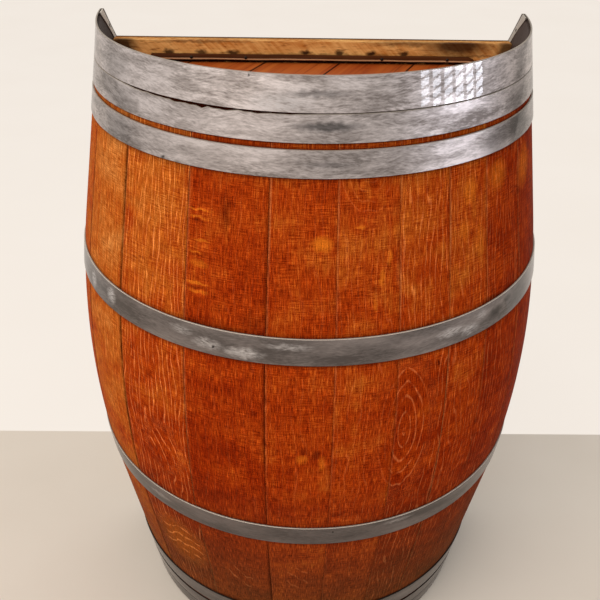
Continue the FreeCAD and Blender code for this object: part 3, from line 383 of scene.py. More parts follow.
def hoop_steel():
    """Mild steel strap, ground by hand with a disc and lacquered: soft bright wisps on dull grey, fine marks in
    the two ways that the disc swept, and a thin sharp gloss. The layer tone holds how brightly each hoop was
    ground, the dark of its edges, and the rub and painted highlight of its upper edge."""
    made, tree, shader = new_finish(
        "mild_steel_ground_lacquered",
        {"Metallic": 1.0, "Specular Tint": "#d2ccc6", "Coat Weight": 0.6, "Coat Roughness": 0.02},
    )
    place = put(tree, "ShaderNodeTexCoord", {}, "Object")
    grain = put(tree, "ShaderNodeUVMap", {}, uv_map="grain")
    tone = put(tree, "ShaderNodeAttribute", {}, attribute_name="tone")
    bright, edge_dark, rubbed_and_lit = put(tree, "ShaderNodeSeparateColor", {"Color": tone}).node.outputs[:]
    # Wisps that the disc left, 14 mm high and four times as long
    drawn = put(tree, VECTOR, {0: grain, 1: (0.25, 1, 1)}, operation="MULTIPLY")
    clouds = put(
        tree, NOISE,
        {"Vector": drawn, "Scale": 1 / (14 * MM), "Detail": 6.0, "Roughness": 0.7, "Distortion": 0.2},
    )
    patches = put(tree, RANGE, {"Value": clouds, "From Min": 0.44, "From Max": 0.61})
    shades = put(tree, NOISE, {"Vector": drawn, "Scale": 1 / (40 * MM), "Detail": 2.0})
    # Marks of the disc, drawn 2 mm wide so that they show
    marks = []
    for sweep in (0.16, -0.12):
        swept = put(tree, "ShaderNodeVectorRotate", {"Vector": grain, "Angle": sweep}, rotation_type="Z_AXIS")
        swept = put(tree, VECTOR, {0: swept, 1: (0.22, 1, 1)}, operation="MULTIPLY")
        mark = put(tree, NOISE, {"Vector": swept, "Scale": 1 / (2 * MM), "Detail": 2.0, "Roughness": 0.6})
        marks.append(mark)
    which = put(tree, NOISE, {"Vector": grain, "Scale": 1 / (45 * MM)})
    which = put(tree, RANGE, {"Value": which, "From Min": 0.42, "From Max": 0.58})
    scratches = put(tree, MIX, {"Factor": which, 2: marks[0], 3: marks[1]})
    worked = put(tree, MATH, {0: bright, 1: 0.50, 2: 0.12}, operation="MULTIPLY_ADD")
    shine = put(tree, MATH, {0: patches, 1: worked, 2: -0.60}, operation="MULTIPLY_ADD")
    shine = put(tree, MATH, {0: shades, 1: 1.7, 2: shine}, operation="MULTIPLY_ADD")
    swept = put(tree, MATH, {0: bright, 1: 1.2, 2: 0.5}, operation="MULTIPLY_ADD")
    scratched = put(tree, MATH, {0: scratches, 1: 0.5}, operation="SUBTRACT")
    shine = put(tree, MATH, {0: scratched, 1: swept, 2: shine}, operation="MULTIPLY_ADD", use_clamp=True)
    dull = put(tree, MIX, {"Factor": bright, 6: "#3b3535", 7: "#938a87"}, 2, data_type="RGBA")
    lit = put(tree, MIX, {"Factor": bright, 6: "#827979", 7: "#f6eceb"}, 2, data_type="RGBA")
    steel = put(tree, MIX, {"Factor": shine, 6: dull, 7: lit}, 2, data_type="RGBA")
    # Rub and painted highlight along the upper edges of the duller hoops
    steel = put(tree, MIX, {"Factor": rubbed_and_lit, 6: steel, 7: "#ddd3cc"}, 2, data_type="RGBA")
    steel = put(tree, MIX, {"Factor": edge_dark, 6: steel, 7: "#1c1613"}, 2, data_type="RGBA")
    # Scuffs lie in the marks of the disc, and so does the painted reflection of the room along the far left
    # ends of the top hoops
    brushed = put(tree, RANGE, {"Value": scratches, "From Min": 0.38, "From Max": 0.58, "To Min": 0.2})
    scuffs_and_glare = ragged_ovals(tree, place, HOOP_SCUFFS_AND_GLARE)
    scuffs_and_glare = put(tree, MATH, {0: scuffs_and_glare, 1: brushed}, operation="MULTIPLY")
    steel = put(tree, MIX, {"Factor": scuffs_and_glare, 6: steel, 7: "#d3d0d2"}, 2, data_type="RGBA")
    # Pits, burns and nail holes, and broad painted shade toward both ends of the hoops
    holes_and_shade = ragged_ovals(tree, place, HOOP_MARKS_AND_SHADE)
    steel = put(tree, MIX, {"Factor": holes_and_shade, 6: steel, 7: "#0e0a08"}, 2, data_type="RGBA")
    rough = put(tree, MATH, {0: shine, 1: -0.12, 2: 0.50}, operation="MULTIPLY_ADD")
    bump = put(tree, "ShaderNodeBump", {"Height": scratches, "Strength": 0.3, "Distance": 0.12 * MM})
    tree.links.new(steel, shader["Base Color"])
    tree.links.new(rough, shader["Roughness"])
    tree.links.new(bump, shader["Normal"])
    return made


# Bright scuffs on the hoops, with a painted reflection of the room along the far left ends of the top hoops,
# and pits, burns and nail holes, with painted shade toward both ends of the hoops
HOOP_SCUFFS_AND_GLARE = marks_on_cask(
    (-14.0, 626, 34, 14, 9, 0.95), (-22.0, 629, 30, 16, 9, 0.7), (-5.0, 640, 36, 12, 6, 0.6),
    (-28.5, 638, 22, 14, 7, 0.5), (-51.0, 634, 14, 14, 14, 0.95), (-61.0, 630, 12, 12, 16, 0.95),
    (30.5, 634, 28, 26, 8, 0.7), (35.5, 628, 22, 18, 9, 0.7), (39.5, 640, 12, 12, 8, 0.55),
    (-40.0, 318, 26, 26, 5, 0.4), (22.0, 326, 30, 30, 4, 0.4), (-8.0, 920, 44, 20, 17, 0.6),
    (-84.0, 930, 30, 80, 26, 0.8), (-84.0, 895, 30, 80, 26, 0.8), (-84.0, 857, 30, 80, 26, 0.8),
)
# Pits, burns and nail holes, and broad painted shade toward both ends of the hoops
HOOP_MARKS_AND_SHADE = marks_on_cask(
    (-20.9, 627.5, 3, 8, 2.2, 1.0), (5.7, 325, 2.5, 8, 3, 1.0), (-35.1, 843, 4, 4, 4, 1.0),
    (-15.0, 947, 2, 6, 2, 0.9), (44.5, 633, 18, 22, 9, 0.75), (49.5, 640, 14, 16, 8, 0.7),
    (56.0, 633, 40, 60, 26, 0.6), (78.0, 633, 40, 80, 30, 0.75), (57.0, 857, 46, 70, 34, 0.7),
    (46.0, 855, 40, 50, 26, 0.5), (57.0, 893, 36, 60, 26, 0.4), (58.0, 925, 14, 40, 26, 0.35),
    (74.0, 875, 30, 90, 60, 0.5), (-55.0, 925, 44, 44, 26, 0.32), (-52.0, 893, 48, 48, 22, 0.34),
    (-52.0, 857, 48, 48, 24, 0.4), (0.0, 931, 42, 20, 5, 0.5), (2.0, 897, 48, 20, 7, 0.75),
    (2.0, 857, 40, 20, 5, 0.4),
)


def worked_metal(name, pale, dark, roughness, speck_mm, metallic=1.0, holes_and_shade=()):
    """Metal of the fittings and of the hoops' bare parts: plating, tarnish or scale that varies from spot to
    spot. Under thick scale it is less metallic, and holes are dark spots in it, as is painted shade where it is
    given with them."""
    made, tree, shader = new_finish(name, {"Metallic": metallic})
    place = put(tree, "ShaderNodeTexCoord", {}, "Object")
    specks = put(tree, NOISE, {"Vector": place, "Scale": 1 / (speck_mm * MM), "Detail": 4.0, "Roughness": 0.65})
    metal = put(tree, MIX, {"Factor": specks, 6: dark, 7: pale}, 2, data_type="RGBA")
    if holes_and_shade:
        # Holes, and painted shade where it is given with them, as dark spots
        spots = ragged_ovals(tree, place, holes_and_shade)
        metal = put(tree, MIX, {"Factor": spots, 6: metal, 7: "#1a130f"}, 2, data_type="RGBA")
    rough = put(tree, MATH, {0: specks, 1: 0.3, 2: roughness - 0.15}, operation="MULTIPLY_ADD")
    bump = put(tree, "ShaderNodeBump", {"Height": specks, "Strength": 0.2, "Distance": 0.1 * MM})
    tree.links.new(metal, shader["Base Color"])
    tree.links.new(rough, shader["Roughness"])
    tree.links.new(bump, shader["Normal"])
    return made


def catch_plastic():
    """Polypropylene of the catch, moulded: the fine grain of the mould, really 0.2 mm and drawn 0.8 mm wide
    so that it shows, gives the brown a dull even sheen."""
    made, tree, shader = new_finish("polypropylene_moulded_brown", {"IOR": 1.49})
    place = put(tree, "ShaderNodeTexCoord", {}, "Object")
    grained = put(tree, NOISE, {"Vector": place, "Scale": 1 / (0.8 * MM), "Detail": 1.0})
    colour = put(tree, MIX, {"Factor": grained, 6: "#2a1a10", 7: "#3c281a"}, 2, data_type="RGBA")
    rough = put(tree, MATH, {0: grained, 1: 0.2, 2: 0.40}, operation="MULTIPLY_ADD")
    tree.links.new(colour, shader["Base Color"])
    tree.links.new(rough, shader["Roughness"])
    return made


def stage_paint(name, first, second, patch_mm, glow):
    """Matt paint of the floor and the backdrop: two near tones in soft patches. glow is the share of it that
    looks evenly lit, directly or in a mirror, so that the backdrop stays pale in soft light."""
    made, tree, shader = new_finish(name, {"Roughness": 0.85, "Specular IOR Level": 0.2})
    place = put(tree, "ShaderNodeTexCoord", {}, "Object")
    patches = put(tree, NOISE, {"Vector": place, "Scale": 1 / (patch_mm * MM), "Detail": 4.0})
    colour = put(tree, MIX, {"Factor": patches, 6: first, 7: second}, 2, data_type="RGBA")
    tree.links.new(colour, shader["Base Color"])
    ray = put(tree, "ShaderNodeLightPath", {}).node.outputs
    seen = put(tree, MATH, {0: ray["Is Camera Ray"], 1: ray["Is Glossy Ray"]}, operation="ADD")
    seen = put(tree, MATH, {0: seen, 1: ray["Is Transmission Ray"]}, operation="ADD", use_clamp=True)
    seen = put(tree, MATH, {0: seen, 1: glow}, operation="MULTIPLY")
    even = put(tree, "ShaderNodeEmission", {"Color": colour})
    painted = tree.nodes["Principled BSDF"].outputs[0]
    surface = put(tree, "ShaderNodeMixShader", {0: seen, 1: painted, 2: even})
    tree.links.new(surface, tree.nodes["Material Output"].inputs["Surface"])
    return made


# Meshes

# Edges that turn by more than this stay sharp in the light, and edges of solids that do so are eased
SHARP_FROM = math.radians(38)
EASED_FROM = math.radians(40)


def piece(name, points, faces, finishes, body, node, grain=None, tone=None, face_finish=None):
    """Makes a mesh piece that stands for a solid, with its layers, and sets it on its body."""
    mesh = bpy.data.meshes.new(name)
    mesh.from_pydata(points, [], faces)
    mesh.update()
    for finish in finishes:
        mesh.materials.append(finish)
    if face_finish:
        mesh.polygons.foreach_set("material_index", face_finish)
    if grain:
        layer = mesh.uv_layers.new(name="grain")
        for loop in mesh.loops:
            layer.data[loop.index].uv = grain[loop.vertex_index]
    if tone:
        layer = mesh.color_attributes.new("tone", "FLOAT_COLOR", "POINT")
        for index, values in enumerate(tone):
            layer.data[index].color = values
    mesh.shade_smooth()
    mesh.set_sharp_from_angle(angle=SHARP_FROM)
    made = bpy.data.objects.new(name, mesh)
    bpy.context.scene.collection.objects.link(made)
    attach(made, body)
    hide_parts(node)


def loft(rings):
    """Faces between rings of the same number of points, with a cap at each end."""
    count = len(rings[0])
    points = [point for ring in rings for point in ring]
    faces = []
    for row in range(len(rings) - 1):
        for place in range(count):
            following = (place + 1) % count
            low, high = row * count, (row + 1) * count
            faces.append((low + place, low + following, high + following, high + place))
    faces.append(tuple(range(count - 1, -1, -1)))
    faces.append(tuple((len(rings) - 1) * count + place for place in range(count)))
    return points, faces


# Lower edge, upper edge, length of the folded end, and how brightly the hoop is ground
HOOPS = {
    "top_chime_hoop": (911 * MM, 950 * MM, 18 * MM, 0.95),
    "top_second_hoop": (879.4 * MM, 910.4 * MM, 22 * MM, 0.85),
    "top_third_hoop": (841.4 * MM, 872.4 * MM, 22 * MM, 0.82),
    "upper_bilge_hoop": (615 * MM, 651 * MM, 22 * MM, 0.22),
    "lower_bilge_hoop": (299 * MM, 335 * MM, 22 * MM, 0.08),
    "bottom_third_hoop": (66.1 * MM, 101.1 * MM, 22 * MM, 0.06),
    "bottom_second_hoop": (32.6 * MM, 59.1 * MM, 22 * MM, 0.06),
    "bottom_chime_hoop": (2 * MM, 32 * MM, 18 * MM, 0.06),
}
# Left joint in degrees and the width of its chamfer in millimetres, paleness near the top and near the foot,
# amount of rays, and how far the stave stands proud in millimetres. The lower paleness near the foot is partly
# painted shade, and the high paleness of the left staves is partly a painted sheen
STAVES = (
    (None, 0.4, 0.55, 0.35, 0.5, 0.0),
    (-80.0, 0.4, 0.60, 0.40, 0.6, 0.2),
    (-66.0, 0.5, 0.74, 0.50, 0.5, -0.1),
    (-47.5, 1.6, 0.63, 0.18, 1.25, 0.3),
    (-28.1, 0.25, 0.41, 0.23, 0.12, -0.2),
    (-9.8, 0.50, 0.45, 0.32, 0.15, 0.2),
    (4.4, 0.22, 0.49, 0.30, 0.28, 0.0),
    (17.9, 0.30, 0.50, 0.16, 0.8, -0.2),
    (30.2, 0.25, 0.53, 0.17, 0.55, 0.2),
    (41.5, 0.30, 0.34, 0.15, 0.6, 0.0),
    (56.0, 0.4, 0.26, 0.14, 0.5, 0.1),
    (72.0, 0.4, 0.26, 0.14, 0.4, 0.0),
)
PALE_FROM, PALE_TO = 200 * MM, 780 * MM
JOINT_GAP = 0.08 * MM
# Steps in from a joint past its chamfer, with the dirt and painted shade and the rub and painted highlight
# there, on its right and on its left
RIGHT_OF_JOINT = ((0.0, 0.28, 0.55), (1.2 * MM, 0.04, 0.65), (2.8 * MM, 0.0, 0.0), (8 * MM, 0.0, 0.0))
LEFT_OF_JOINT = ((0.0, 0.75, 0.0), (1.6 * MM, 0.40, 0.0), (5 * MM, 0.0, 0.0))
BETWEEN_SHARES = (0.2, 0.4, 0.6, 0.8)
INNER_SHARES = (1.0, 0.67, 0.33, 0.0)
# Width in millimetres from which a joint's chamfer is full of dirt and painted shade, and how dark that is
FULL_CHAMFER = 0.6
CHAMFER_SHADE_AND_DIRT = 0.75
# How uneven the face of a stave is
FACE_UNEVEN = 0.18 * MM
# Painted shade and dirt on the wood under a hoop, where it shows black in the ragged seam, painted shade and
# dirt just beside it, and the distance over which that would fade from 1 to 0
UNDER_HOOP, BESIDE_HOOP, HOOP_FADE = 0.98, 0.62, 11 * MM
# How far the sawn ends of the chime lean out at the very top, and from where back and from where up
SPRUNG_OUT = 7 * MM
SPRUNG_BEHIND = 60 * MM
SPRUNG_ABOVE = 905 * MM
# Places of the finishes in the lists of a stave and of a hoop
VARNISHED, INSIDE, SAWN = range(3)
GROUND, SCALED_AND_SHADED, BARE, CUT, SHADED_EDGE = range(5)


def sawn_angle(radius):
    """How far round the cask the sawn back lies at a radius."""
    return math.pi / 2 + math.asin(SAWN_PAST_AXIS / radius)


def sprung(x, y, z):
    """A point of the chime after the sawn ends have sprung apart: near the back the top leans out a little."""
    back = min(max((y - SPRUNG_BEHIND) / (BACK_Y - SPRUNG_BEHIND), 0.0), 1.0)
    rise = min(max((z - SPRUNG_ABOVE) / (HEIGHT - SPRUNG_ABOVE), 0.0), 1.0)
    return x + math.copysign(SPRUNG_OUT, x) * back * back * rise, y, z


def stave_rows():
    """Heights of the rows of points on a stave: even steps, with close rows at hoop edges and grooves."""
    rows = {0.0, STAVE_TOP, CHIME_BEVEL, STAVE_TOP - CHIME_BEVEL}
    steps = 95
    beside_groove = 0.05 * MM
    closest = 0.08 * MM
    rows.update(STAVE_TOP * step / steps for step in range(1, steps))
    for low, high, _, _ in HOOPS.values():
        for edge, way in ((low, -1), (high, 1)):
            rows.update(edge + way * away * MM for away in (-1.0, 1.5, 5.0))
    for middle in HEAD_MIDDLES:
        for edge in (middle - CROZE_HALF, middle + CROZE_HALF):
            rows.update((edge - beside_groove, edge + beside_groove))
    kept = []
    for row in sorted(row for row in rows if 0 <= row <= STAVE_TOP):
        if not kept or row - kept[-1] > closest:
            kept.append(row)
    return kept


def hoop_shade_and_dirt(z):
    """Painted shade, with some dirt, where the wood meets a hoop, and on the wood under it."""
    if any(low <= z <= high for low, high, _, _ in HOOPS.values()):
        return UNDER_HOOP
    near = min(abs(z - edge) for low, high, _, _ in HOOPS.values() for edge in (low, high))
    return max(0.0, BESIDE_HOOP - near / HOOP_FADE)


def build_stave(number, rows, finishes):
    """Stave with chamfers, dirt and rub at its joints outside, and bevels and grooves inside."""
    left, left_chamfer, top_pale, low_pale, rays, proud = STAVES[number]
    right, right_chamfer = STAVES[(number + 1) % len(STAVES)][:2]
    # Shift of the patterns, so that no two staves are alike
    seed = 3.7 * (number + 1)
    rings, grain, tone = [], [], []
    for z in rows:
        ring = []
        # Paleness rises from the foot to the top: the stave's tone, with painted shade towards the foot
        share = (z - PALE_FROM) / (PALE_TO - PALE_FROM)
        paleness = low_pale + (top_pale - low_pale) * min(max(share, 0.0), 1.0)
        for outside in (True, False):
            radius = wall_radius(z) + proud * MM if outside else inner_radius(z)
            start = -sawn_angle(radius) if left is None else math.radians(left)
            stop = sawn_angle(radius) if right is None else math.radians(right)
            start += JOINT_GAP / radius
            stop -= JOINT_GAP / radius
            width = (stop - start) * radius
            if outside:
                # Distance from the left edge, depth below the face, dirt and painted shade, rub and painted
                # highlight
                chamfer, far_chamfer = left_chamfer * MM, right_chamfer * MM
                full = min(1.0, left_chamfer / FULL_CHAMFER + 0.05)
                far_full = min(1.0, right_chamfer / FULL_CHAMFER + 0.05)
                places = [(0.0, chamfer, CHAMFER_SHADE_AND_DIRT * full, 0.0)]
                places += [(chamfer + step, 0.0, dirt_and_shade * full, rub_and_highlight) for step, dirt_and_shade, rub_and_highlight in RIGHT_OF_JOINT]
                inset, far_inset = places[-1][0], width - far_chamfer - LEFT_OF_JOINT[-1][0]
                places += [(inset + share * (far_inset - inset), 0.0, 0.0, 0.0) for share in BETWEEN_SHARES]
                for step, dirt_and_shade, rub_and_highlight in reversed(LEFT_OF_JOINT):
                    places.append((width - far_chamfer - step, 0.0, dirt_and_shade * far_full, rub_and_highlight))
                places.append((width, far_chamfer, CHAMFER_SHADE_AND_DIRT * far_full, 0.0))
            else:
                places = [(share * width, 0.0, 0.0, 0.0) for share in INNER_SHARES]
            for place, below, dirt_and_shade, rub_and_highlight in places:
                angle = start + place / radius
                reach = radius - below
                if outside:
                    uneven = noise.noise(Vector((seed + place * 40, z * 14, seed)))
                    reach += FACE_UNEVEN * noise.noise(Vector((angle * 9 + seed, z * 6, seed)))
                    dirt_and_shade = max(dirt_and_shade * (0.8 + 0.5 * uneven), hoop_shade_and_dirt(z))
                    # Less rub and painted highlight near the foot
                    rub_and_highlight *= max(0.0, 0.75 + 0.9 * uneven) * min(max(share, 0.15), 1.0)
                ring.append(sprung(reach * math.sin(angle), AXIS_Y - reach * math.cos(angle), z))
                grain.append((angle * BILGE + seed, z + seed))
                tone.append((paleness, rays, dirt_and_shade, rub_and_highlight))
        rings.append(ring)
    points, faces = loft(rings)
    count = len(rings[0])
    outer_count = count - len(INNER_SHARES)
    # Faces of a ring in order: outside, right joint, inside, left joint
    ring_finish = [VARNISHED] * (outer_count - 1) + [SAWN if right is None else INSIDE]
    ring_finish += [INSIDE] * (len(INNER_SHARES) - 1) + [SAWN if left is None else INSIDE]
    face_finish = ring_finish * (len(rows) - 1) + [INSIDE, INSIDE]
    name = "stave_%d" % (number + 1)
    piece(
        name + "_jointed", points, faces, finishes, "carcass", name, grain, tone, face_finish
    )


# How much the edges of hoops are hammered, and middle and half length, in degrees, and depth of the ragged seam
HAMMERED = 0.12 * MM
SEAM_MIDDLE, SEAM_HALF, SEAM_DEPTH = -26, 25, 3.4 * MM


def edge_wear(name, angle, upper):
    """How far a hoop's edge lies back from the straight line: a little hammered, and ragged at one seam."""
    wear = HAMMERED * (1 + noise.noise(Vector((angle * 22, 7.0 if upper else 3.0, len(name)))))
    if name == "top_second_hoop" and upper:
        near = max(0.0, 1 - abs(math.degrees(angle) - SEAM_MIDDLE) / SEAM_HALF)
        ragged = max(0.2, 0.7 + 0.9 * noise.noise(Vector((angle * 55, 1.0, 4.0))))
        wear += SEAM_DEPTH * math.sqrt(near) * ragged
    return wear


def inner_tab(side):
    """End of the top hoop where it is folded round the sawn edge on to the inside of the chime."""
    rings = []
    # Height and how far the tab reaches in from the sawn edge, in millimetres
    for height, reach in ((913.5, 11), (924, 13), (934, 17), (941, 22), (945.5, 26), (948.2, 27), (949.6, 24)):
        ring = []
        # Distance from the sawn edge and from the chime's inside, in millimetres
        outline = ((reach, -0.3), (reach, 1.0), (reach - 0.8, 1.4), (1.8, 1.4), (-0.8, 1.4), (-0.8, -0.3))
        for inset, lift in outline:
            radius = inner_radius(height * MM) - lift * MM
            y = BACK_Y - inset * MM
            ring.append(sprung(side * math.sqrt(radius * radius - (y - AXIS_Y) ** 2), y, height * MM))
        rings.append(ring if side < 0 else ring[::-1])
    points, faces = loft(rings)
    # The cut edges, the back and a strip of the face along the fold are scaled dark, the cut edges and that
    # strip as painted shade lines, and the face between them is bare; the end caps come last
    ring_finish = [SCALED_AND_SHADED, SCALED_AND_SHADED, BARE, SCALED_AND_SHADED, SCALED_AND_SHADED, SCALED_AND_SHADED]
    return points, faces, ring_finish * (len(rings) - 1) + [BARE, BARE]


def build_hoop(name, finishes):
    """Strap round the cask, folded on to the sawn back; the top one is folded on to the inside as well."""
    low, high, fold, bright = HOOPS[name]
    # Shift of the patterns, so that no two hoops are alike
    seed = 5.3 * len(name) + 2.9 * high / HEIGHT
    corner = 0.6 * MM
    round_edge = 0.5 * MM
    # The folded end of the top hoop is cut on the slant, as thick as the bevelled stave under it
    slant_cut = 15.2 * MM if name == "top_chime_hoop" else 0.0
    # Shares of the width at which the strap has points, close together at the edges
    across = (0.0, 0.012, 0.07, 0.5, 0.93, 0.988, 1.0)
    steps = 132
    # Stops along the strap: folded end, bend, round the cask, bend, folded end
    stops = [(-1, "end", 0.0), (-1, "fold", 0.5)] + [(-1, "bend", share) for share in (1.0, 0.66, 0.33)]
    stops += [(0, "round", step / steps) for step in range(steps + 1)]
    stops += [(1, "bend", share) for share in (0.33, 0.66, 1.0)] + [(1, "fold", 0.5), (1, "end", 0.0)]
    rings, grain, tone = [], [], []
    for side, kind, share in stops:
        ring = []
        for inside in (False, True):
            for part in across if not inside else (1.0, 0.0):
                z = low + part * (high - low)
                wall = wall_radius(z)
                end_angle = math.pi / 2 + math.asin((SAWN_PAST_AXIS - corner) / wall)
                angle = side * end_angle if side else (2 * share - 1) * end_angle
                upper = part > 0.5
                wear = edge_wear(name, angle, upper) if not side else 0.0
                z_worn = z + (-wear if upper else wear) * (0.0 if part == 0.5 else 1.0)
                stand = 0.0 if inside else HOOP_THICKNESS - (round_edge if part in (0.0, 1.0) else 0.0)
                wall_x = wall * math.sin(end_angle)
                if kind == "round":
                    x = (wall + stand) * math.sin(angle)
                    y = AXIS_Y - (wall + stand) * math.cos(angle)
                else:
                    turn = share * math.pi / 2 if kind == "bend" else math.pi / 2
                    back = {"bend": 0.0, "fold": 0.5, "end": 1.0}[kind] * (fold - part * slant_cut)
                    x = side * (wall_x - corner + (corner + stand) * math.cos(turn) - back)
                    y = BACK_Y - corner + (corner + stand) * math.sin(turn)
                ring.append(sprung(x, y, z_worn))
                along = angle * wall if not side else side * (end_angle * wall + 0.5 * fold)
                grain.append((along + seed, z + seed))
                edge_dark = {0.0: 0.55, 1.0: 0.3 * bright}.get(part, 0.0)
                # The upper edge of the duller hoops is made paler: rub and painted highlight
                rub_and_highlight = 0.6 * (1 - bright) if part == 1.0 and not inside else 0.0
                tone.append((bright, edge_dark, rub_and_highlight, 1.0))
        rings.append(ring)
    points, faces = loft(rings)
    # The bilge hoops are painted pale along the rim as a highlight, and the bottom hoops are painted black
    # there as shade
    rim, edge = CUT, CUT
    if "bilge" in name:
        rim = BARE
    elif "bottom" in name:
        rim, edge = SHADED_EDGE, SHADED_EDGE
    # Faces of a ring in order: outside, rim, upper edge, inside, lower edge
    ring_finish = [GROUND] * (len(across) - 2) + [rim, edge, SCALED_AND_SHADED, GROUND]
    face_finish = ring_finish * (len(stops) - 1) + [GROUND, GROUND]
    if name == "top_chime_hoop":
        for side in (-1, 1):
            tab_points, tab_faces, tab_finish = inner_tab(side)
            faces += [tuple(place + len(points) for place in face) for face in tab_faces]
            face_finish += tab_finish
            points += tab_points
            grain += [(0.0, 0.0)] * len(tab_points)
            tone += [(0.0, 0.0, 0.0, 1.0)] * len(tab_points)
    piece(name + "_strap", points, faces, finishes, "carcass", name, grain, tone, face_finish)


def build_batten(finishes):
    """Thin strip along the foot of the rail, with a rounded lip below and a shadow line under it."""
    rail_front = AXIS_Y
    foot = HEAD_TOP + 4.5 * MM
    half_length = 223
    # Depth in front of the rail and height above the strip's foot, in millimetres
    profile = ((0.2, 0.4), (5.8, 0.0), (6.8, 0.4), (7.0, 1.2), (6.4, 2.2), (6.1, 5.8), (5.4, 6.5), (0.2, 6.5))
    steps = 64
    rings = []
    for step in range(steps + 1):
        x = half_length * (2 * step / steps - 1)
        end_taper = min(1.0, 0.5 + (half_length - x) / 12)
        ring = []
        for depth, height in profile:
            sway = 0.3 * noise.noise(Vector((x / 40, height, 2.0)))
            rise = 0.5 * noise.noise(Vector((x / 55, height / 9, 5.0)))
            depth = depth + sway if depth > 1 else depth
            ring.append((x * MM, rail_front - depth * MM, foot + (height * end_taper + rise) * MM))
        rings.append(ring)
    points, faces = loft(rings)
    # The lip, between the third and fifth points of the profile, is paler: worn, and a painted highlight
    face_finish = [0, 0, 1, 1, 0, 0, 0, 0] * steps + [0, 0]
    piece(
        "batten_lipped", points, faces, finishes, "carcass", "head_batten",
        face_finish=face_finish,
    )


def lathe(profile, sides, centre, way):
    """Points and faces of a shape turned about a line along y. The profile is radius and distance from the
    centre, backwards where way is 1 and forwards where it is -1."""
    rings = []
    for radius, distance in profile:
        ring = []
        for side in range(sides):
            turn = 2 * math.pi * side / sides
            x, z = radius * math.cos(turn), radius * math.sin(turn)
            ring.append((centre[0] + x, centre[1] + way * distance, centre[2] + z))
        rings.append(ring)
    return loft(rings)


def build_knob(side, finish):
    """Turned knob with a collar, a waist and a round head, on a dowel in the door."""
    name = side + "_knob"
    low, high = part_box(name)
    centre = ((low[0] + high[0]) / 2, BACK_Y, (low[2] + high[2]) / 2)
    # Radius and distance from the door's face, in millimetres
    turned = (
        (5, -9), (5, 0), (8.6, 0), (9.0, 0.8), (8.8, 1.8), (7.6, 2.8), (6.7, 4.5), (6.4, 7), (6.6, 9.5),
        (7.6, 12), (9.6, 14.2), (11.8, 16.2), (13.3, 18.6), (14.0, 21.2), (13.6, 23.8), (12.0, 26),
        (9.0, 27.3), (5, 27.9), (1, 28),
    )
    points, faces = lathe([(radius * MM, distance * MM) for radius, distance in turned], 40, centre, 1)
    piece(side + "_knob_turned", points, faces, [finish], side + "_door", name)


def islands(node):
    """Boxes round the separate nails of a node, and which way their heads are along y."""
    end_slice = 0.3 * MM
    shape = bmesh.new()
    shape.from_mesh(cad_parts[node].data)
    bmesh.ops.remove_doubles(shape, verts=shape.verts, dist=0.001 * MM)
    boxes, seen = [], set()
    for start in shape.verts:
        if start in seen:
            continue
        group, waiting = [], [start]
        seen.add(start)
        while waiting:
            point = waiting.pop()
            group.append(point.co.copy())
            for edge in point.link_edges:
                other = edge.other_vert(point)
                if other not in seen:
                    seen.add(other)
                    waiting.append(other)
        low = Vector([min(point[way] for point in group) for way in range(3)])
        high = Vector([max(point[way] for point in group) for way in range(3)])
        back_reach = max(point[0] for point in group if point[1] > high[1] - end_slice)
        front_reach = max(point[0] for point in group if point[1] < low[1] + end_slice)
        boxes.append((low, high, 1 if back_reach >= front_reach else -1))
    shape.free()
    return boxes


# How uneven the nail heads are hammered
NAIL_UNEVEN = 0.15 * MM


def build_nails(node, finish, body):
    """Hammered nails: a domed, slightly uneven head on a round shank."""
    points, faces = [], []
    for number, (low, high, way) in enumerate(islands(node)):
        radius = (high[0] - low[0]) / 2
        length = high[1] - low[1]
        centre = ((low[0] + high[0]) / 2, low[1] if way > 0 else high[1], (low[2] + high[2]) / 2)
        # Radius and distance from the point: shank and domed head
        profile = [
            (radius * 0.1, 0.0), (radius * 0.4, length * 0.12), (radius * 0.4, length - 1.1 * MM),
            (radius * 0.97, length - 1.0 * MM), (radius, length - 0.7 * MM), (radius * 0.86, length - 0.3 * MM),
            (radius * 0.5, length - 0.08 * MM), (radius * 0.1, length),
        ]
        shape_points, shape_faces = lathe(profile, 20, centre, way)
        faces += [tuple(place + len(points) for place in face) for face in shape_faces]
        for x, y, z in shape_points:
            uneven = NAIL_UNEVEN * noise.noise(Vector((x * 300, z * 300, number)))
            points.append((x + uneven, y, z))
    piece(node + "_hammered", points, faces, [finish], body, node)


def build_door(side, finish):
    """Door of three upright boards with V joints on both faces."""
    name = side + "_door_panel"
    low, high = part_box(name)
    groove = 1.6 * MM
    ease = 0.8 * MM
    width = high[0] - low[0]
    joints = [low[0] + width * share for share in (0.36, 0.68)]

    def section(inset):
        front = low[1] + inset
        face = [(low[0] + inset, front + ease), (low[0] + ease + inset, front)]
        for joint in joints:
            face += [(joint - groove, front), (joint, front + groove), (joint + groove, front)]
        face += [(high[0] - ease - inset, front), (high[0] - inset, front + ease)]
        middle = (low[1] + high[1]) / 2
        return face + [(x, 2 * middle - y) for x, y in reversed(face)]

    levels = ((low[2], ease), (low[2] + ease, 0.0), (high[2] - ease, 0.0), (high[2], ease))
    rings = [[(x, y, z) for x, y in section(inset)] for z, inset in levels]
    points, faces = loft(rings)
    piece(name + "_boards", points, faces, [finish], side + "_door", name)


def dress(node, finish, ease_mm=0.0):
    """Gives a solid its finish, and eased edges where a width is given."""
    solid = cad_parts[node]
    solid.data.materials.clear()
    solid.data.materials.append(finish)
    if ease_mm:
        weld = solid.modifiers.new("joined", "WELD")
        weld.merge_threshold = 0.002 * MM
        ease = solid.modifiers.new("eased", "BEVEL")
        ease.width = ease_mm * MM
        ease.segments = 2
        ease.limit_method = "ANGLE"
        ease.angle_limit = EASED_FROM
        solid.modifiers.new("even", "WEIGHTED_NORMAL").keep_sharp = True


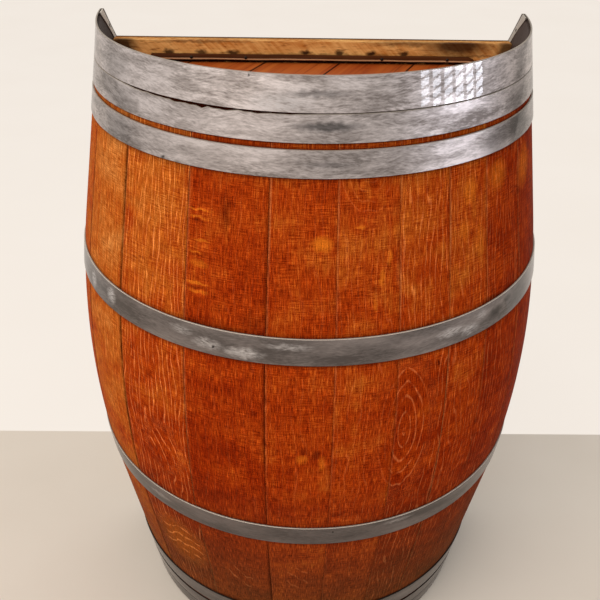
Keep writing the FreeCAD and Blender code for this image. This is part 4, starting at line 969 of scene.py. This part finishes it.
# Camera, worked out from the hoops and the outline in the photograph, for a square picture
CAMERA_PLACE = Vector((-27.5 * MM, -961.8 * MM, 1184.6 * MM))
CAMERA_DOWN = math.radians(31.751)
CAMERA_RIGHT = math.radians(0.776)
CAMERA_ROLL = math.radians(0.904)
FOCAL_SHARE = 791.3 / 600
SENSOR_WIDTH = 36


def set_camera():
    camera = bpy.data.cameras.new("camera")
    camera.sensor_width = SENSOR_WIDTH
    camera.lens = SENSOR_WIDTH * FOCAL_SHARE
    level = Vector((math.cos(CAMERA_RIGHT), -math.sin(CAMERA_RIGHT), 0))
    ahead = Vector((math.sin(CAMERA_RIGHT), math.cos(CAMERA_RIGHT), 0)) * math.cos(CAMERA_DOWN)
    ahead.z = -math.sin(CAMERA_DOWN)
    upward = level.cross(ahead)
    side = level * math.cos(CAMERA_ROLL) + upward * math.sin(CAMERA_ROLL)
    top = upward * math.cos(CAMERA_ROLL) - level * math.sin(CAMERA_ROLL)
    turn = Matrix((side, top, -ahead)).transposed().to_4x4()
    made = bpy.data.objects.new("camera", camera)
    made.matrix_world = Matrix.Translation(CAMERA_PLACE) @ turn
    bpy.context.scene.collection.objects.link(made)
    bpy.context.scene.camera = made


def lamp(name, place, target, width, height, watts, colour):
    """Rectangular lamp that shines at a target and isn't seen itself."""
    light = bpy.data.lights.new(name, "AREA")
    light.shape = "RECTANGLE"
    light.size, light.size_y = width, height
    light.energy = watts
    light.color = linear(colour)[:3]
    made = bpy.data.objects.new(name, light)
    made.location = place
    made.rotation_euler = (Vector(target) - Vector(place)).to_track_quat("-Z", "Y").to_euler()
    made.visible_camera = False
    bpy.context.scene.collection.objects.link(made)


def stage_sheet(name, corners, finish):
    """Level sheet of the stage between two corners."""
    mesh = bpy.data.meshes.new(name)
    (left, near), (right, far) = corners
    mesh.from_pydata([(left, near, 0), (right, near, 0), (right, far, 0), (left, far, 0)], [], [(0, 1, 2, 3)])
    mesh.materials.append(finish)
    made = bpy.data.objects.new(name, mesh)
    bpy.context.scene.collection.objects.link(made)


# Pieces

ALONG_X = (0.03, 1, 1)
ALONG_Y = (1, 0.03, 1)
ALONG_Z = (1, 1, 0.03)
# Frame and rail: sawn and left bare, so pale, dull and scored by the saw
sawn_tones = ("#c9985a", "#a8713a", "#6b4320")
rail_tones = ("#f0b972", "#bf7633", "#6e3812", "#2b120a")
sawn_upright = oak_board("oak_sawn_upright", ALONG_Z, sawn_tones, {"Roughness": 0.7}, saw=0.8)
sawn_level = oak_board("oak_sawn_level", ALONG_X, sawn_tones, {"Roughness": 0.7}, saw=0.8)
# Iron stains of old nails and patches of old finish on the rail, a painted shadow along its foot under the
# strip, dark ends beside the horns that are partly painted shade, and a dark band along the back of its top
rail_marks_and_shade = tuple(
    ((x, AXIS_Y / MM, z), (half_width, 12, half_height), strength)
    for x, z, half_width, half_height, strength in (
        (-199, 898, 10, 6, 0.9), (-153.5, 898, 11, 5, 0.85), (-110, 898, 12, 6, 0.9), (-10, 899, 11, 5, 0.95),
        (36, 899, 8, 6, 0.9), (81, 899, 9, 6, 0.95), (126, 899, 9, 5, 0.9), (200, 912, 62, 22, 0.9),
        (0, 895, 300, 4, 0.5), (140, 913, 80, 6, 0.6), (-262, 905, 26, 26, 0.9), (0, 887, 600, 5, 1.0),
        (268, 905, 20, 26, 0.85), (-150, 913, 90, 3, 0.5), (215, 897, 60, 3, 0.6),
    )
)
rail_marks_and_shade += (((0, BACK_Y / MM + 2, 914.5), (900, 13, 8), 1.0),)
rail_oak = oak_board(
    "oak_sawn_rail", (0.2, 1, 1), rail_tones, {"Roughness": 0.6, "Specular IOR Level": 0.02},
    saw=1.5, marks=rail_marks_and_shade,
)
# Strip stained nearly black, and its lip, paler where the stain is worn through to dry wood and painted as a
# highlight
batten_oak = oak_board(
    "oak_strip_dark", ALONG_X, ("#5a3116", "#40200e", "#1e0e07"),
    {"Roughness": 0.55, "Specular IOR Level": 0.05},
)
worn_lit_oak = oak_board("oak_strip_lip_worn_and_lit", ALONG_X, ("#c99a70", "#a2734b", "#6a4428"), {"Roughness": 0.6})
# Head boards: stained and varnished on top, red-brown with a soft sheen, and only planed below, dull and pale
head_oak = oak_board(
    "oak_head_stained_varnished", ALONG_Y, ("#bd6428", "#983a0f", "#651f07", "#2a0d05"),
    {"Roughness": 0.45, "Specular IOR Level": 0.15}, turn=HEAD_TURN, dirty_joints=True,
)
plain_oak = oak_board(
    "oak_head_planed", ALONG_Y, ("#bd9163", "#9a6c40", "#65421f"), {"Roughness": 0.6}, turn=HEAD_TURN
)
# Doors, ledges and shelf: oiled, so warm brown with a low sheen
door_tones = ("#b87a3f", "#93561f", "#5a3012")
door_oak = oak_board("oak_door_oiled", ALONG_Z, door_tones, {"Roughness": 0.5}, bands_mm=24)
ledge_oak = oak_board("oak_ledge_oiled", ALONG_X, door_tones, {"Roughness": 0.5}, bands_mm=24)
# Knobs: turned and varnished, dark and smooth with a clear gloss
knob_tones = ("#8a5327", "#5f3415", "#341a09")
knob_oak = oak_board("oak_knob_turned", ALONG_Y, knob_tones, {"Roughness": 0.35}, bands_mm=8)
# Nails with black scale are dull and dark, tarnished brass is deep yellow with brown clouds, brassed screws are
# pale yellow-grey, and zinc is bright cold grey
nail_iron = worked_metal("iron_nail_scaled", "#4a423c", "#1c1714", 0.6, 2)
hinge_brass = worked_metal("brass_rolled_tarnished", "#d9b15c", "#a67c34", 0.36, 5)
screw_steel = worked_metal("steel_screw_brassed", "#c2b48c", "#8b7c58", 0.35, 2)
zinc_steel = worked_metal("steel_zinc_plated", "#c4c6c9", "#8d9094", 0.38, 4)
brown_plastic = catch_plastic()

stave_finishes = [stave_oak(), inside_oak(), sawn_upright]
rows = stave_rows()
for number in range(len(STAVES)):
    build_stave(number, rows, stave_finishes)
# Nail holes in the inner tabs, and painted shade that dulls the right one
tab_holes_and_shade = (
    ((-280.3, 165, 930), (6, 4.5, 4), 1.0), ((280.8, 163, 930), (6, 4.5, 4), 1.0),
    ((282, 160, 932), (60, 60, 80), 0.35),
)
# Hoops: ground and lacquered outside, brown-grey scale inside that also draws painted shade lines on the inner
# tabs, pale dull tabs, bilge rims painted pale as a highlight, grey cut edges, and the edges near the floor
# painted black as shade
hoop_finishes = [
    hoop_steel(), worked_metal("mild_steel_scaled_and_shaded", "#6b5f57", "#433831", 0.65, 6, 0.25),
    worked_metal("mild_steel_dull", "#e6ded4", "#c3bab0", 0.6, 6, 0.25, tab_holes_and_shade),
    worked_metal("mild_steel_cut_edge", "#b8afa5", "#8c8379", 0.6, 6, 0.25),
    worked_metal("mild_steel_edge_painted_shade", "#2c221b", "#100b08", 0.7, 6, 0.25),
]
for name in HOOPS:
    build_hoop(name, hoop_finishes)
build_batten([batten_oak, worn_lit_oak])
build_nails("batten_nails", nail_iron, "carcass")
build_nails("hoop_nails", nail_iron, "carcass")
for number in range(1, 6):
    dress("top_head_board_%d" % number, head_oak, 1.3)
    dress("bottom_head_board_%d" % number, plain_oak, 0.7)
dress("top_rail", rail_oak, 0.8)
dress("bottom_rail", sawn_level, 0.8)
dress("left_stile", sawn_upright, 0.8)
dress("right_stile", sawn_upright, 0.8)
dress("shelf", ledge_oak, 0.8)
dress("shelf_pins", zinc_steel, 0.3)
dress("magnetic_catch", brown_plastic, 0.5)
dress("frame_screws", screw_steel)
for side in ("left", "right"):
    build_door(side, door_oak)
    build_knob(side, knob_oak)
    dress(side + "_door_lower_ledge", ledge_oak, 0.8)
    dress(side + "_door_upper_ledge", ledge_oak, 0.8)
    dress(side + "_door_screws", screw_steel)
    dress(side + "_strike", zinc_steel, 0.2)
    for part in ("frame_leaf", "door_leaf", "pin"):
        dress(side + "_hinge_" + part, hinge_brass)

# Stage: pale floor, paler backdrop sheet that lies behind the cabinet, soft light
WALL_LINE = 388 * MM
floor_paint = stage_paint("floor_paint", "#e4dcd1", "#ece5db", 220, 0.0)
stage_sheet("floor", ((-4, -4), (4, WALL_LINE)), floor_paint)
backdrop_paper = stage_paint("backdrop_paper", "#f8efe5", "#fcf4eb", 400, 0.8)
stage_sheet("backdrop", ((-4, WALL_LINE), (4, 6)), backdrop_paper)
lamp("front_softbox", (-1.5, -1.9, 2.9), (0, 0, 0.5), 2.6, 2.6, 62, "#fff2e4")
# A low wide window at the right, which the gloss of the hoops shows
PANE_COLUMNS, PANE_ROWS = 6, 4
PANE_WIDTH, PANE_HEIGHT, PANE_WATTS = 0.19, 0.027, 0.26
LOWEST_PANE = (2.46, -0.14, 0.77)
NEXT_COLUMN = (-0.09, -0.26, 0.028)
NEXT_ROW = 0.037
for column in range(PANE_COLUMNS):
    for row in range(PANE_ROWS):
        x, y, z = (first + step * column for first, step in zip(LOWEST_PANE, NEXT_COLUMN))
        pane = (x, y, z + NEXT_ROW * row)
        lamp("window_pane", pane, (0, 0, 0.93), PANE_WIDTH, PANE_HEIGHT, PANE_WATTS, "#eef3ff")
# A soft room, brighter behind the cabinet and dark at the right
world = bpy.data.worlds.new("soft_room")
world.use_nodes = True
way = put(world.node_tree, "ShaderNodeTexCoord", {}, "Generated")
back = put(world.node_tree, "ShaderNodeSeparateXYZ", {0: way}, "Y")
back = put(world.node_tree, RANGE, {"Value": back, "From Min": -1.0, "From Max": 1.0})
room = put(world.node_tree, MIX, {"Factor": back, 6: "#dcd8d4", 7: "#faf5ee"}, 2, data_type="RGBA")
side = put(world.node_tree, "ShaderNodeSeparateXYZ", {0: way}, "X")
side = put(world.node_tree, RANGE, {"Value": side, "From Min": 0.55, "From Max": 1.0, "To Max": 0.75})
room = put(world.node_tree, MIX, {"Factor": side, 6: room, 7: "#75695d"}, 2, data_type="RGBA")
sky = world.node_tree.nodes["Background"].inputs
world.node_tree.links.new(room, sky["Color"])
sky["Strength"].default_value = 0.75
bpy.context.scene.world = world
bpy.context.scene.view_settings.view_transform = "Standard"
set_camera()
